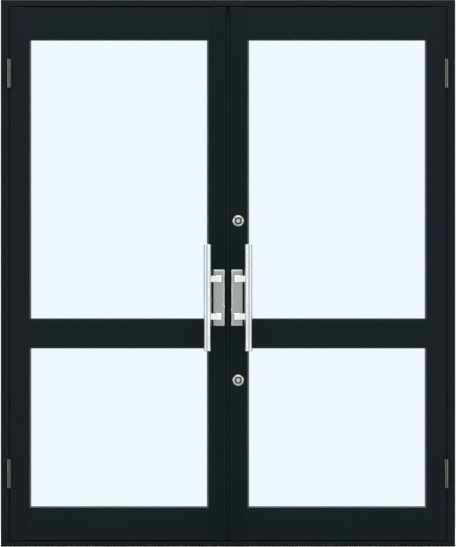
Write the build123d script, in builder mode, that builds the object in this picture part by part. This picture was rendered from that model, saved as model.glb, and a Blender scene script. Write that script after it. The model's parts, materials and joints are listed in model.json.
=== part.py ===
from build123d import *
from math import sqrt
import os

# A double glass shop door in its frame, both leaves opening outwards.
# X runs to the right as seen from the street, Y into the shop, Z up.
# The origin is the middle of the underside of the sill, half way through the frame's depth.

# Overall size of the frame
door_width = 1690.0
door_height = 2033.0
frame_depth = 70.0

# Faces of the frame sections as seen from the street
jamb_face = 30.0
head_face = 22.5
sill_face = 19.0
profile_wall = 2.0
lip_width = 7.0
lip_depth = 2.0

# Stop that the leaves close against, with its weather gasket
stop_projection = 16.0
stop_gap = 4.0
stop_gasket_width = 8.0
stop_groove_width = 4.0
stop_groove_depth = 4.5
stop_gasket_clearance = 0.4

# Gaps round and between the leaves
side_gap = 3.5
head_gap = 5.5
floor_gap = 5.0
meeting_gap = 9.0

# Leaf sections
leaf_depth = 40.0
hinge_stile_width = 74.0
meeting_stile_width = 68.0
top_rail_height = 118.0
mid_rail_height = 100.0
bottom_rail_height = 120.0
mid_rail_centre_z = 792.4
nose_radius = 9.0

# Glazing rebate, glass, gaskets and beads
flange_thickness = 2.5
rebate_depth = 16.0
glass_cover = 10.0
glass_thickness = 8.0
glass_arris = 0.5
gasket_thickness = 4.0
gasket_reveal = 6.0
gasket_setback = 0.8
gasket_seat = 7.0
gasket_tip = 1.4
bead_wall = 1.5
bead_chamfer = 3.0
bead_groove_width = 3.0
bead_groove_depth = 1.8
bead_groove_setback = 4.0
bead_foot_clearance = 0.15
bead_joint = 0.2
block_length = 100.0
block_inset = 90.0

# Seal in the meeting stiles
seal_groove_width = 4.0
seal_groove_depth = 5.0
seal_setback = 32.0
seal_half_gap = 0.2
seal_tip_width = 2.6

# Screws and their ports in head and sill
screw_radius = 2.5
screw_fit = 0.05
screw_length = 34.0
screw_head_radius = 4.6
screw_head_height = 3.0
screw_head_clearance = 0.2
port_sink = 0.3
access_hole_radius = 6.0
front_port_depth = 14.0

# Fixing holes to the wall
fixing_hole_radius = 4.0
fixing_depth = 28.0
jamb_outer_fixing_spacing = 1700.0
jamb_inner_fixing_spacing = 560.0
head_fixing_spacing = 840.0

# Barrel hinges
hinge_height = 106.0
lower_hinge_z = 270.9
upper_hinge_z = 1759.6
knuckle_radius = 7.5
knuckle_standoff = 0.5
knuckle_cap = 3.0
pin_radius = 4.0
running_fit = 0.05
washer_thickness = 0.7
washer_clearance = 0.3
washer_radius = 6.9
flap_clearance = 0.5
flap_depth = 32.0
flap_neck_clearance = 0.5

# Corner cleats inside the rails
cleat_length = 60.0
cleat_clearance = 0.3
cleat_bore_radius = 3.0

# Pull handles
handle_z = 925.3
handle_length = 398.0
bar_radius = 14.5
bar_wall = 1.5
bar_edge_radius = 2.0
bar_end_thickness = 3.0
bar_x = 76.5
bar_standoff = 60.0
arm_spacing = 140.0
arm_height = 22.0
arm_thickness = 20.0
arm_reach_thickness = 15.0
arm_x = 33.0
arm_bend_radius = 7.0
arm_base_width = 22.0
arm_base_height = 24.0
arm_base_thickness = 2.5
plate_width = 40.8
plate_height = 208.5
plate_thickness = 6.0
plate_bevel_width = 5.5
plate_bevel_depth = 2.5
plate_centre_x = 33.4
stud_radius = 4.0
stud_clearance = 0.5
stud_bite = 15.0

# Mortise locks in the right leaf
lock_x = 38.0
upper_lock_z = 1211.2
lower_lock_z = 618.4
case_height = 110.0
case_length = 46.0
case_wall = 1.5
bolt_thickness = 10.0
bolt_height = 28.0
bolt_clearance = 0.4
bolt_rest_setback = 0.3
bolt_throw = 20.0
bolt_tail_clearance = 1.5
case_centre_depth = 19.5
face_plate_width = 17.6
face_plate_height = 150.0
face_plate_thickness = 3.0
mortise_clearance = 0.2
cylinder_radius = 12.6
cylinder_clearance = 0.3
ring_radius = 20.5
ring_height = 5.0
ring_edge_height = 1.6
ring_bevel_width = 7.0
ring_throat_radius = 11.4
cylinder_face_height = 1.6
plug_radius = 7.5
plug_proud = 2.8
keyway_width = 2.4
keyway_height = 8.5
keyway_depth = 14.0
tail_width = 6.0
tail_thickness = 1.6
tail_fit = 0.3
cam_radius = 10.5
cam_hub_radius = 4.4
cam_thickness = 2.0
cam_gap = 0.5
rose_radius = 17.0
rose_height = 5.0
rose_bevel = 2.5
rose_neck_radius = 8.0
turn_spindle_radius = 4.5
turn_length = 34.0
turn_width = 9.0
turn_height = 20.0
turn_gap = 0.5
turn_slot_depth = 8.0

# Strike plates in the left meeting stile
strike_height = 100.0
strike_width = 17.6
strike_thickness = 2.5
strike_clearance = 1.2

# Surface bolts on the left leaf
surface_bolt_x = 30.5
rod_radius = 5.0
rod_chamfer = 1.5
rod_length = 150.0
rod_standoff = 17.0
rod_travel = 16.0
rod_end_clearance = 3.0
rod_hole_clearance = 0.8
keeper_thickness = 2.0
keeper_length = 44.0
keeper_width = 18.0
housing_width = 26.0
housing_plate_thickness = 3.0
housing_corner_radius = 3.0
housing_length = 130.0
housing_end_gap = 4.0
guide_length = 22.0
guide_width = 20.0
guide_depth_beyond_rod = 8.0
knob_radius = 5.0
knob_height = 18.0

# Door closers
closer_spindle_x = 250.0
closer_spindle_y = 24.0
closer_length = 236.0
closer_height = 50.0
closer_depth = 46.0
closer_offset = 28.0
closer_edge_radius = 7.0
closer_rim_radius = 3.5
closer_top_below_soffit = 38.0
closer_valve_radius = 3.0
closer_valve_depth = 2.0
closer_valve_spacing = 17.0
boss_radius = 13.0
boss_height = 2.0
closer_spindle_radius = 7.0
closer_spindle_length = 16.0
arm_plate_thickness = 5.0
arm_gap = 2.0
arm_hub_radius = 14.0
arm_elbow_radius = 9.0
elbow_pin_radius = 4.0
elbow_cap_height = 2.0
bracket_reach_x = 215.0
bracket_pin_radius = 5.0
bracket_pin_clearance = 0.1
bracket_plate_length = 64.0
bracket_plate_width = 22.0
bracket_plate_thickness = 4.0
bracket_corner_radius = 4.0
bracket_boss_radius = 9.0
bracket_gap = 1.0

# Places worked out from the sizes above
front_y = -frame_depth / 2
leaf_back_y = front_y + leaf_depth
stop_front_depth = leaf_depth + stop_gap
stop_front_y = front_y + stop_front_depth
back_y = front_y + frame_depth
half_width = door_width / 2
soffit_z = door_height - head_face - stop_projection
sill_stop_z = sill_face + stop_projection
leaf_bottom = sill_face + floor_gap
leaf_top = door_height - head_face - head_gap
leaf_height = leaf_top - leaf_bottom
leaf_outer_x = half_width - jamb_face - side_gap
leaf_inner_x = meeting_gap / 2
hinge_flange_x = leaf_outer_x - hinge_stile_width
hinge_tube_x = hinge_flange_x + rebate_depth
meet_flange_x = leaf_inner_x + meeting_stile_width
meet_tube_x = meet_flange_x - rebate_depth
pane_centre_x = (meet_flange_x + hinge_flange_x) / 2
pane_width = hinge_flange_x - meet_flange_x
rail_length = hinge_tube_x - meet_tube_x
glass_front_y = front_y + flange_thickness + gasket_thickness
glass_back_y = glass_front_y + glass_thickness
bead_front_y = glass_back_y + gasket_thickness
edge_clearance = rebate_depth - glass_cover
hinge_x = half_width - jamb_face - side_gap / 2
hinge_y = front_y - knuckle_standoff - knuckle_radius
flap_thickness = (side_gap - flap_clearance) / 2

# Lower and upper edges of the flanges round the two panes of a leaf
lower_pane = (leaf_bottom + bottom_rail_height, mid_rail_centre_z - mid_rail_height / 2)
upper_pane = (mid_rail_centre_z + mid_rail_height / 2, leaf_top - top_rail_height)
panes = (lower_pane, upper_pane)

# The screw ports of the head and sill sections, as distance from the outer edge and depth
port_inset = profile_wall + screw_head_radius + screw_head_clearance
port_radius = port_inset - profile_wall + port_sink
back_port_depth = frame_depth - port_inset

lock_places = (("lower", lower_lock_z), ("upper", upper_lock_z))
side_names = ((-1, "left"), (1, "right"))

os.makedirs("parts", exist_ok=True)


def finish(piece, name):
    piece.part.label = name
    export_step(piece.part, f"parts/{name}.step")


def front_view(y):
    # A sketch plane seen from the street: its x is X and its y is Z
    return Plane(origin=(0, y, 0), x_dir=(1, 0, 0), z_dir=(0, -1, 0))


def port_edge(face):
    return face - port_inset


# Frame

def frame_outline(face, gap):
    # One section serves jamb, head and sill: a box in front and the stop behind
    tip = face + stop_projection
    groove = face + (gap + stop_projection) / 2
    return [
        (0, lip_depth),
        (lip_width, lip_depth),
        (lip_width, 0),
        (face, 0),
        (face, stop_front_depth),
        (groove - stop_groove_width / 2, stop_front_depth),
        (groove - stop_groove_width / 2, stop_front_depth + stop_groove_depth),
        (groove + stop_groove_width / 2, stop_front_depth + stop_groove_depth),
        (groove + stop_groove_width / 2, stop_front_depth),
        (tip, stop_front_depth),
        (tip, frame_depth),
        (0, frame_depth),
    ]


def jamb(side):
    outline = [(side * (half_width - a), front_y + b) for a, b in frame_outline(jamb_face, side_gap)]
    rebate_x = half_width - jamb_face
    stop_x = rebate_x - stop_projection
    screw_places = [
        (rebate_x, front_port_depth, door_height - port_edge(head_face)),
        (stop_x, back_port_depth, door_height - port_edge(head_face)),
        (rebate_x, front_port_depth, port_edge(sill_face)),
        (stop_x, back_port_depth, port_edge(sill_face)),
    ]
    fixing_zs = [
        door_height / 2 + sign * spacing / 2
        for spacing in (jamb_outer_fixing_spacing, jamb_inner_fixing_spacing)
        for sign in (-1, 1)
    ]
    with BuildPart() as piece:
        with BuildSketch():
            with BuildLine():
                Polyline(*outline, close=True)
            make_face()
            offset(amount=-profile_wall, kind=Kind.INTERSECTION, mode=Mode.SUBTRACT)
            with Locations((side * (half_width - jamb_face / 2), stop_front_y + profile_wall / 2)):
                Rectangle(jamb_face - profile_wall, profile_wall)
        extrude(amount=door_height)
        # Holes to the wall, through both sides of the front chamber
        with BuildSketch(Plane.YZ.offset(side * half_width)):
            with Locations(*[(front_y + fixing_depth, z) for z in fixing_zs]):
                Circle(fixing_hole_radius)
        extrude(amount=-side * jamb_face, mode=Mode.SUBTRACT)
        # A driver reaches each corner screw through a wider hole in the outer wall
        for wall_x, depth, z in screw_places:
            with BuildSketch(Plane.YZ.offset(side * wall_x)):
                with Locations((front_y + depth, z)):
                    Circle(screw_radius + screw_fit)
            extrude(amount=side * profile_wall, mode=Mode.SUBTRACT)
            with BuildSketch(Plane.YZ.offset(side * half_width)):
                with Locations((front_y + depth, z)):
                    Circle(access_hole_radius)
            extrude(amount=-side * profile_wall, mode=Mode.SUBTRACT)
    return piece


def crossbar(face, gap, height_of):
    # Head or sill, between the jambs: height_of turns a distance from the outer edge into a height
    outline = [(front_y + b, height_of(a)) for a, b in frame_outline(face, gap)]
    rebate_x = half_width - jamb_face
    ports = [(front_y + depth, height_of(port_edge(face))) for depth in (front_port_depth, back_port_depth)]
    cope_depth = frame_depth - stop_front_depth
    with BuildPart() as piece:
        with BuildSketch(Plane.YZ):
            with BuildLine():
                Polyline(*outline, close=True)
            make_face()
            offset(amount=-profile_wall, kind=Kind.INTERSECTION, mode=Mode.SUBTRACT)
            with Locations((stop_front_y + profile_wall / 2, height_of(face / 2))):
                Rectangle(profile_wall, face - profile_wall)
            with Locations(*ports):
                Circle(port_radius)
                Circle(screw_radius + screw_fit, mode=Mode.SUBTRACT)
        extrude(amount=rebate_x, both=True)
        # The ends are notched round the stops of the jambs
        with BuildSketch(Plane.XY):
            with Locations(*[(sign * rebate_x, stop_front_y + cope_depth / 2) for sign in (-1, 1)]):
                Rectangle(2 * stop_projection, cope_depth)
        extrude(amount=door_height, mode=Mode.SUBTRACT)
    return piece


frame_head = crossbar(head_face, head_gap, lambda a: door_height - a)
with BuildPart() as head_holes:
    with BuildSketch(Plane.XY.offset(door_height)):
        with Locations(*[(sign * head_fixing_spacing / 2, front_y + fixing_depth) for sign in (-1, 1)]):
            Circle(fixing_hole_radius)
    extrude(amount=-head_face)
with BuildPart() as rod_hole_in_head:
    with BuildSketch(Plane.XY.offset(soffit_z)):
        with Locations((-surface_bolt_x, leaf_back_y + rod_standoff)):
            Circle(rod_radius + rod_hole_clearance)
    extrude(amount=profile_wall)
with frame_head:
    add(head_holes.part, mode=Mode.SUBTRACT)
    add(rod_hole_in_head.part, mode=Mode.SUBTRACT)
finish(frame_head, "frame_head")

frame_sill = crossbar(sill_face, floor_gap, lambda a: a)
with BuildPart() as rod_hole_in_sill:
    with BuildSketch(Plane.XY.offset(sill_stop_z)):
        with Locations((-surface_bolt_x, leaf_back_y + rod_standoff)):
            Circle(rod_radius + rod_hole_clearance)
    extrude(amount=-profile_wall)
with frame_sill:
    add(rod_hole_in_sill.part, mode=Mode.SUBTRACT)
finish(frame_sill, "frame_sill")

for side, side_name in side_names:
    finish(jamb(side), f"{side_name}_jamb")

# Weather gasket: a strip in each stop, its bulb just clear of the leaves
bulb_thickness = stop_gap - stop_gasket_clearance


def stop_gasket_outline(face, gap):
    # The root fills the groove and the crowned bulb faces the leaf
    middle = face + (gap + stop_projection) / 2
    front = stop_front_depth - bulb_thickness
    half_bulb = stop_gasket_width / 2
    half_root = stop_groove_width / 2
    root_depth = stop_front_depth + stop_groove_depth
    return [
        (middle - half_bulb, stop_front_depth),
        (middle - half_bulb / 2, front),
        (middle + half_bulb / 2, front),
        (middle + half_bulb, stop_front_depth),
        (middle + half_root, stop_front_depth),
        (middle + half_root, root_depth),
        (middle - half_root, root_depth),
        (middle - half_root, stop_front_depth),
    ]


with BuildPart() as frame_gaskets:
    for side, _ in side_names:
        outline = [
            (side * (half_width - a), front_y + b)
            for a, b in stop_gasket_outline(jamb_face, side_gap)
        ]
        with BuildSketch(Plane.XY.offset(sill_stop_z)):
            with BuildLine():
                Polyline(*outline, close=True)
            make_face()
        extrude(amount=soffit_z - sill_stop_z)
    cross_reach = half_width - jamb_face - stop_projection
    for face, gap, top in ((head_face, head_gap, True), (sill_face, floor_gap, False)):
        outline = [
            (front_y + b, door_height - a if top else a)
            for a, b in stop_gasket_outline(face, gap)
        ]
        with BuildSketch(Plane.YZ):
            with BuildLine():
                Polyline(*outline, close=True)
            make_face()
        extrude(amount=cross_reach, both=True)
finish(frame_gaskets, "frame_gaskets")

# Corner screws, heads inside the jambs and shanks in the ports of head and sill
with BuildPart() as frame_corner_screws:
    for side, _ in side_names:
        for z in (port_edge(sill_face), door_height - port_edge(head_face)):
            for wall_x, depth in (
                (half_width - jamb_face, front_port_depth),
                (half_width - jamb_face - stop_projection, back_port_depth),
            ):
                head_x = wall_x + profile_wall
                with BuildSketch(Plane.YZ.offset(side * head_x)):
                    with Locations((front_y + depth, z)):
                        Circle(screw_head_radius)
                extrude(amount=side * screw_head_height)
                with BuildSketch(Plane.YZ.offset(side * head_x)):
                    with Locations((front_y + depth, z)):
                        Circle(screw_radius)
                extrude(amount=-side * screw_length)
finish(frame_corner_screws, "frame_corner_screws")


# Leaves

# Every glazed edge has a groove for the feet of the beads, walled all round
bead_groove_y = leaf_back_y - bead_groove_setback - bead_groove_width / 2
bead_groove_block = (bead_groove_depth + profile_wall, bead_groove_width + 2 * profile_wall)


def hinge_stile(side):
    tube_middle = (side * (leaf_outer_x + hinge_tube_x) / 2, front_y + leaf_depth / 2)
    tube_width = leaf_outer_x - hinge_tube_x
    with BuildPart() as piece:
        with BuildSketch(Plane.XY.offset(leaf_bottom)):
            with Locations(tube_middle):
                Rectangle(tube_width, leaf_depth)
                Rectangle(tube_width - 2 * profile_wall, leaf_depth - 2 * profile_wall, mode=Mode.SUBTRACT)
            with Locations((side * (hinge_tube_x + bead_groove_block[0] / 2), bead_groove_y)):
                Rectangle(*bead_groove_block)
            with Locations((side * (hinge_tube_x + bead_groove_depth / 2), bead_groove_y)):
                Rectangle(bead_groove_depth, bead_groove_width, mode=Mode.SUBTRACT)
            with Locations((side * (hinge_flange_x + hinge_tube_x) / 2, front_y + flange_thickness / 2)):
                Rectangle(rebate_depth, flange_thickness)
        extrude(amount=leaf_height)
    return piece


def meeting_stile(side):
    nose_start = (side * leaf_inner_x, front_y + nose_radius)
    nose_end = (side * (leaf_inner_x + nose_radius), front_y)
    nose_middle = (
        side * (leaf_inner_x + nose_radius * (1 - sqrt(0.5))),
        front_y + nose_radius * (1 - sqrt(0.5)),
    )
    outline = [
        nose_end,
        (side * meet_tube_x, front_y),
        (side * meet_tube_x, leaf_back_y),
        (side * leaf_inner_x, leaf_back_y),
        nose_start,
    ]
    seal_y = front_y + seal_setback + seal_groove_width / 2
    with BuildPart() as piece:
        with BuildSketch(Plane.XY.offset(leaf_bottom)):
            with BuildLine():
                ThreePointArc(nose_start, nose_middle, nose_end)
                Polyline(*outline)
            make_face()
            offset(amount=-profile_wall, kind=Kind.INTERSECTION, mode=Mode.SUBTRACT)
            with Locations((side * (meet_tube_x - bead_groove_block[0] / 2), bead_groove_y)):
                Rectangle(*bead_groove_block)
            with Locations((side * (meet_tube_x - bead_groove_depth / 2), bead_groove_y)):
                Rectangle(bead_groove_depth, bead_groove_width, mode=Mode.SUBTRACT)
            with Locations((side * (leaf_inner_x + (seal_groove_depth + profile_wall) / 2), seal_y)):
                Rectangle(seal_groove_depth + profile_wall, seal_groove_width + 2 * profile_wall)
            with Locations((side * (leaf_inner_x + seal_groove_depth / 2), seal_y)):
                Rectangle(seal_groove_depth, seal_groove_width, mode=Mode.SUBTRACT)
            with Locations((side * (meet_tube_x + meet_flange_x) / 2, front_y + flange_thickness / 2)):
                Rectangle(rebate_depth, flange_thickness)
        extrude(amount=leaf_height)
        # Holes for the studs that join the outer handle to the inner one
        with BuildSketch(front_view(front_y)):
            with Locations(*[(side * arm_x, z) for z in arm_heights]):
                Circle(stud_radius + stud_clearance)
        extrude(amount=-leaf_depth, mode=Mode.SUBTRACT)
        # Mortises in the meeting edge, for lock face plates on the right and strike plates on the left
        if side > 0:
            mortise_width, mortise_height = face_plate_width, face_plate_height
        else:
            mortise_width, mortise_height = strike_width, strike_height
        with BuildSketch(Plane.YZ.offset(side * leaf_inner_x)):
            with Locations(*[(front_y + case_centre_depth, z) for _, z in lock_places]):
                Rectangle(mortise_width + 2 * mortise_clearance, mortise_height + 2 * mortise_clearance)
        extrude(amount=side * profile_wall, mode=Mode.SUBTRACT)
        if side > 0:
            # Round holes for the cylinder outside and the thumb turn inside
            with BuildSketch(front_view(front_y)):
                with Locations(*[(lock_x, z) for _, z in lock_places]):
                    Circle(cylinder_radius + cylinder_clearance)
            extrude(amount=-profile_wall, mode=Mode.SUBTRACT)
            with BuildSketch(front_view(leaf_back_y)):
                with Locations(*[(lock_x, z) for _, z in lock_places]):
                    Circle(rose_neck_radius + cylinder_clearance)
            extrude(amount=profile_wall, mode=Mode.SUBTRACT)
    return piece


def rail(side, tube_bottom, tube_top, glazed_edges):
    # glazed_edges says which edges of the rail hold glass: -1 below, 1 above
    middle_x = side * (meet_tube_x + hinge_tube_x) / 2
    tube_height = tube_top - tube_bottom
    tube_middle = (front_y + leaf_depth / 2, (tube_bottom + tube_top) / 2)
    with BuildPart() as piece:
        with BuildSketch(Plane.YZ.offset(middle_x)):
            with Locations(tube_middle):
                Rectangle(leaf_depth, tube_height)
                Rectangle(leaf_depth - 2 * profile_wall, tube_height - 2 * profile_wall, mode=Mode.SUBTRACT)
            for edge in glazed_edges:
                tube_edge = tube_bottom if edge < 0 else tube_top
                with Locations((bead_groove_y, tube_edge - edge * bead_groove_block[0] / 2)):
                    Rectangle(bead_groove_block[1], bead_groove_block[0])
                with Locations((bead_groove_y, tube_edge - edge * bead_groove_depth / 2)):
                    Rectangle(bead_groove_width, bead_groove_depth, mode=Mode.SUBTRACT)
                with Locations((front_y + flange_thickness / 2, tube_edge + edge * rebate_depth / 2)):
                    Rectangle(flange_thickness, rebate_depth)
        extrude(amount=rail_length / 2, both=True)
        # The front is cut back at both ends, behind the flanges of the stiles
        with BuildSketch(front_view(front_y)):
            with Locations(
                (side * (meet_tube_x + meet_flange_x) / 2, (tube_bottom + tube_top) / 2),
                (side * (hinge_tube_x + hinge_flange_x) / 2, (tube_bottom + tube_top) / 2),
            ):
                Rectangle(rebate_depth, tube_height + 2 * rebate_depth)
        extrude(amount=-flange_thickness, mode=Mode.SUBTRACT)
    return piece


top_rail_bottom = leaf_top - top_rail_height + rebate_depth
mid_rail_bottom = mid_rail_centre_z - mid_rail_height / 2 + rebate_depth
mid_rail_top = mid_rail_centre_z + mid_rail_height / 2 - rebate_depth
bottom_rail_top = leaf_bottom + bottom_rail_height - rebate_depth
rail_tubes = (
    ("top_rail", top_rail_bottom, leaf_top, (-1,)),
    ("mid_rail", mid_rail_bottom, mid_rail_top, (-1, 1)),
    ("bottom_rail", leaf_bottom, bottom_rail_top, (1,)),
)


def glass(side, pane):
    low, high = pane
    with BuildPart() as piece:
        with BuildSketch(front_view(glass_front_y)):
            with Locations((side * pane_centre_x, (low + high) / 2)):
                Rectangle(pane_width + 2 * glass_cover, high - low + 2 * glass_cover)
        extrude(amount=-glass_thickness)
        chamfer(piece.edges().filter_by(Axis.Y, reverse=True), length=glass_arris)
    return piece


def glazing_gaskets(side):
    # Outside, a wedge that slopes from the flange to the glass; inside, a strip under the beads
    with BuildPart() as piece:
        for low, high in panes:
            centre = (side * pane_centre_x, (low + high) / 2)
            height = high - low
            wedge_front_y = front_y + gasket_setback
            wedge_back_y = glass_front_y - gasket_tip
            with BuildSketch(front_view(front_y + flange_thickness)):
                with Locations(centre):
                    Rectangle(pane_width + 2 * gasket_seat, height + 2 * gasket_seat)
            extrude(amount=-gasket_thickness)
            with BuildSketch(front_view(wedge_front_y)):
                with Locations(centre):
                    Rectangle(pane_width, height)
            extrude(amount=-(flange_thickness - gasket_setback))
            with BuildSketch(front_view(wedge_front_y)):
                with Locations(centre):
                    Rectangle(pane_width, height)
            with BuildSketch(front_view(wedge_back_y)):
                with Locations(centre):
                    Rectangle(pane_width - 2 * gasket_reveal, height - 2 * gasket_reveal)
            loft(mode=Mode.SUBTRACT)
            with BuildSketch(front_view(wedge_back_y)):
                with Locations(centre):
                    Rectangle(pane_width - 2 * gasket_reveal, height - 2 * gasket_reveal)
            extrude(amount=-gasket_tip, mode=Mode.SUBTRACT)
            with BuildSketch(front_view(glass_back_y)):
                with Locations(centre):
                    Rectangle(pane_width + 2 * gasket_seat, height + 2 * gasket_seat)
                    Rectangle(pane_width, height, mode=Mode.SUBTRACT)
            extrude(amount=-gasket_thickness)
    return piece


def bead_outline(tube_edge, inward):
    # Section of a snap-in bead: depth in Y, and the distance from the tube wall
    foot_start = bead_groove_y - bead_groove_width / 2 + bead_foot_clearance
    foot_end = bead_groove_y + bead_groove_width / 2 - bead_foot_clearance
    foot_depth = bead_groove_depth - bead_foot_clearance
    points = [
        (bead_front_y, 0),
        (foot_start, 0),
        (foot_start, -foot_depth),
        (foot_end, -foot_depth),
        (foot_end, 0),
        (leaf_back_y, 0),
        (leaf_back_y, rebate_depth - bead_chamfer),
        (leaf_back_y - bead_chamfer, rebate_depth),
        (bead_front_y, rebate_depth),
    ]
    return [(y, tube_edge + inward * d) for y, d in points]


def glazing_beads(side):
    hollow = [
        (bead_front_y + bead_wall, bead_wall),
        (leaf_back_y - bead_wall, bead_wall),
        (leaf_back_y - bead_wall, rebate_depth - bead_chamfer),
        (leaf_back_y - bead_chamfer, rebate_depth - bead_wall),
        (bead_front_y + bead_wall, rebate_depth - bead_wall),
    ]
    with BuildPart() as piece:
        for low, high in panes:
            # Level beads run from stile to stile
            for tube_edge, inward in ((low - rebate_depth, 1), (high + rebate_depth, -1)):
                with BuildSketch(Plane.YZ.offset(side * pane_centre_x)):
                    with BuildLine():
                        Polyline(*bead_outline(tube_edge, inward), close=True)
                    make_face()
                    with BuildLine():
                        Polyline(*[(y, tube_edge + inward * d) for y, d in hollow], close=True)
                    make_face(mode=Mode.SUBTRACT)
                extrude(amount=rail_length / 2, both=True)
            # Upright beads stand between them
            for tube_edge, inward in ((meet_tube_x, 1), (hinge_tube_x, -1)):
                outline = [(side * x, y) for y, x in bead_outline(tube_edge, inward)]
                inner = [(side * (tube_edge + inward * d), y) for y, d in hollow]
                with BuildSketch(Plane.XY.offset(low + bead_joint)):
                    with BuildLine():
                        Polyline(*outline, close=True)
                    make_face()
                    with BuildLine():
                        Polyline(*inner, close=True)
                    make_face(mode=Mode.SUBTRACT)
                extrude(amount=high - low - 2 * bead_joint)
    return piece


def setting_blocks(side):
    with BuildPart() as piece:
        for low, high in panes:
            places = [
                (side * pane_centre_x + sign * (pane_width / 2 - block_inset), glass_front_y + glass_thickness / 2)
                for sign in (-1, 1)
            ]
            with BuildSketch(Plane.XY.offset(low - rebate_depth)):
                with Locations(*places):
                    Rectangle(block_length, glass_thickness)
            extrude(amount=edge_clearance)
    return piece


def meeting_seal(side):
    # The root fills the groove, and the soft round lip ends just short of the other leaf's
    seal_middle = front_y + seal_setback + seal_groove_width / 2
    tip = seal_half_gap + seal_tip_width / 2
    with BuildPart() as piece:
        with BuildSketch(Plane.XY.offset(leaf_bottom)):
            with Locations((side * (leaf_inner_x + seal_groove_depth / 2), seal_middle)):
                Rectangle(seal_groove_depth, seal_groove_width)
            with Locations((side * (leaf_inner_x + tip) / 2, seal_middle)):
                Rectangle(leaf_inner_x - tip, seal_tip_width)
            with Locations((side * tip, seal_middle)):
                Circle(seal_tip_width / 2)
        extrude(amount=leaf_height)
    return piece


def corner_cleats(side):
    # Blocks inside the rail ends, screwed to the stiles
    inner_wall = profile_wall + cleat_clearance
    cleat_front = front_y + flange_thickness + cleat_clearance
    cleat_back = bead_groove_y - bead_groove_block[1] / 2 - cleat_clearance
    with BuildPart() as piece:
        for _, low, high, _ in rail_tubes:
            cleat_low = low + inner_wall
            cleat_high = high - inner_wall
            cleat_centre = ((cleat_front + cleat_back) / 2, (cleat_low + cleat_high) / 2)
            for wall_x, into_rail in ((meet_tube_x, 1), (hinge_tube_x, -1)):
                with BuildSketch(Plane.YZ.offset(side * wall_x)):
                    with Locations(cleat_centre):
                        Rectangle(cleat_back - cleat_front, cleat_high - cleat_low)
                        with GridLocations(0, (cleat_high - cleat_low) / 2, 1, 2):
                            Circle(cleat_bore_radius, mode=Mode.SUBTRACT)
                extrude(amount=side * into_rail * cleat_length)
    return piece


# Hinges

def frame_hinge_halves(side):
    # Lower knuckle, fixed pin and thrust washer, with a flap against the jamb
    flap_x = hinge_x + side_gap / 2 - flap_thickness / 2
    with BuildPart() as piece:
        for centre_z in (lower_hinge_z, upper_hinge_z):
            low = centre_z - hinge_height / 2
            half = hinge_height / 2 - washer_thickness / 2 - washer_clearance / 2
            with BuildSketch(Plane.XY.offset(low)):
                with Locations((side * hinge_x, hinge_y)):
                    Circle(knuckle_radius)
                with Locations((side * flap_x, (hinge_y + front_y) / 2)):
                    Rectangle(flap_thickness, front_y - hinge_y)
            extrude(amount=half)
            with BuildSketch(Plane.XY.offset(low + half)):
                with Locations((side * hinge_x, hinge_y)):
                    Circle(washer_radius)
            extrude(amount=washer_thickness)
            with BuildSketch(Plane.XY.offset(low + half)):
                with Locations((side * hinge_x, hinge_y)):
                    Circle(pin_radius)
            extrude(amount=half - knuckle_cap)
            with BuildSketch(Plane.XY.offset(low)):
                with Locations((side * flap_x, front_y + flap_neck_clearance + flap_depth / 2)):
                    Rectangle(flap_thickness, flap_depth)
            extrude(amount=hinge_height)
            with BuildSketch(Plane.XY.offset(low)):
                with Locations((side * flap_x, front_y + flap_neck_clearance / 2)):
                    Rectangle(flap_thickness, flap_neck_clearance)
            extrude(amount=half)
    return piece


def leaf_hinge_halves(side):
    # Upper knuckle, bored for the pin and closed above, with a flap against the leaf
    flap_x = hinge_x - side_gap / 2 + flap_thickness / 2
    with BuildPart() as piece:
        for centre_z in (lower_hinge_z, upper_hinge_z):
            low = centre_z - hinge_height / 2
            half = hinge_height / 2 - washer_thickness / 2 - washer_clearance / 2
            knuckle_low = low + hinge_height - half
            with BuildSketch(Plane.XY.offset(knuckle_low)):
                with Locations((side * hinge_x, hinge_y)):
                    Circle(knuckle_radius)
                with Locations((side * flap_x, (hinge_y + front_y + flap_neck_clearance) / 2)):
                    Rectangle(flap_thickness, front_y + flap_neck_clearance - hinge_y)
            extrude(amount=half)
            with BuildSketch(Plane.XY.offset(knuckle_low)):
                with Locations((side * hinge_x, hinge_y)):
                    Circle(pin_radius + running_fit)
            extrude(amount=half - knuckle_cap, mode=Mode.SUBTRACT)
            with BuildSketch(Plane.XY.offset(low)):
                with Locations((side * flap_x, front_y + flap_neck_clearance + flap_depth / 2)):
                    Rectangle(flap_thickness, flap_depth)
            extrude(amount=hinge_height)
    return piece


# Pull handles
arm_heights = (handle_z - arm_spacing / 2, handle_z + arm_spacing / 2)
# Outside the handle stands out towards the street, inside into the shop
handle_faces = ((-1, front_y), (1, leaf_back_y))


def handle_plates(side):
    with BuildPart() as piece:
        for out, face_y in handle_faces:
            outer_y = face_y + out * plate_thickness
            centre = (side * plate_centre_x, handle_z)
            with BuildSketch(front_view(face_y)):
                with Locations(centre):
                    Rectangle(plate_width, plate_height)
            extrude(amount=-out * (plate_thickness - plate_bevel_depth))
            with BuildSketch(front_view(outer_y - out * plate_bevel_depth)):
                with Locations(centre):
                    Rectangle(plate_width, plate_height)
            with BuildSketch(front_view(outer_y)):
                with Locations(centre):
                    Rectangle(plate_width - 2 * plate_bevel_width, plate_height - 2 * plate_bevel_width)
            loft()
            with BuildSketch(front_view(face_y)):
                with Locations(*[(side * arm_x, z) for z in arm_heights]):
                    Circle(stud_radius + stud_clearance)
            extrude(amount=-out * plate_thickness, mode=Mode.SUBTRACT)
    return piece


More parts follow.
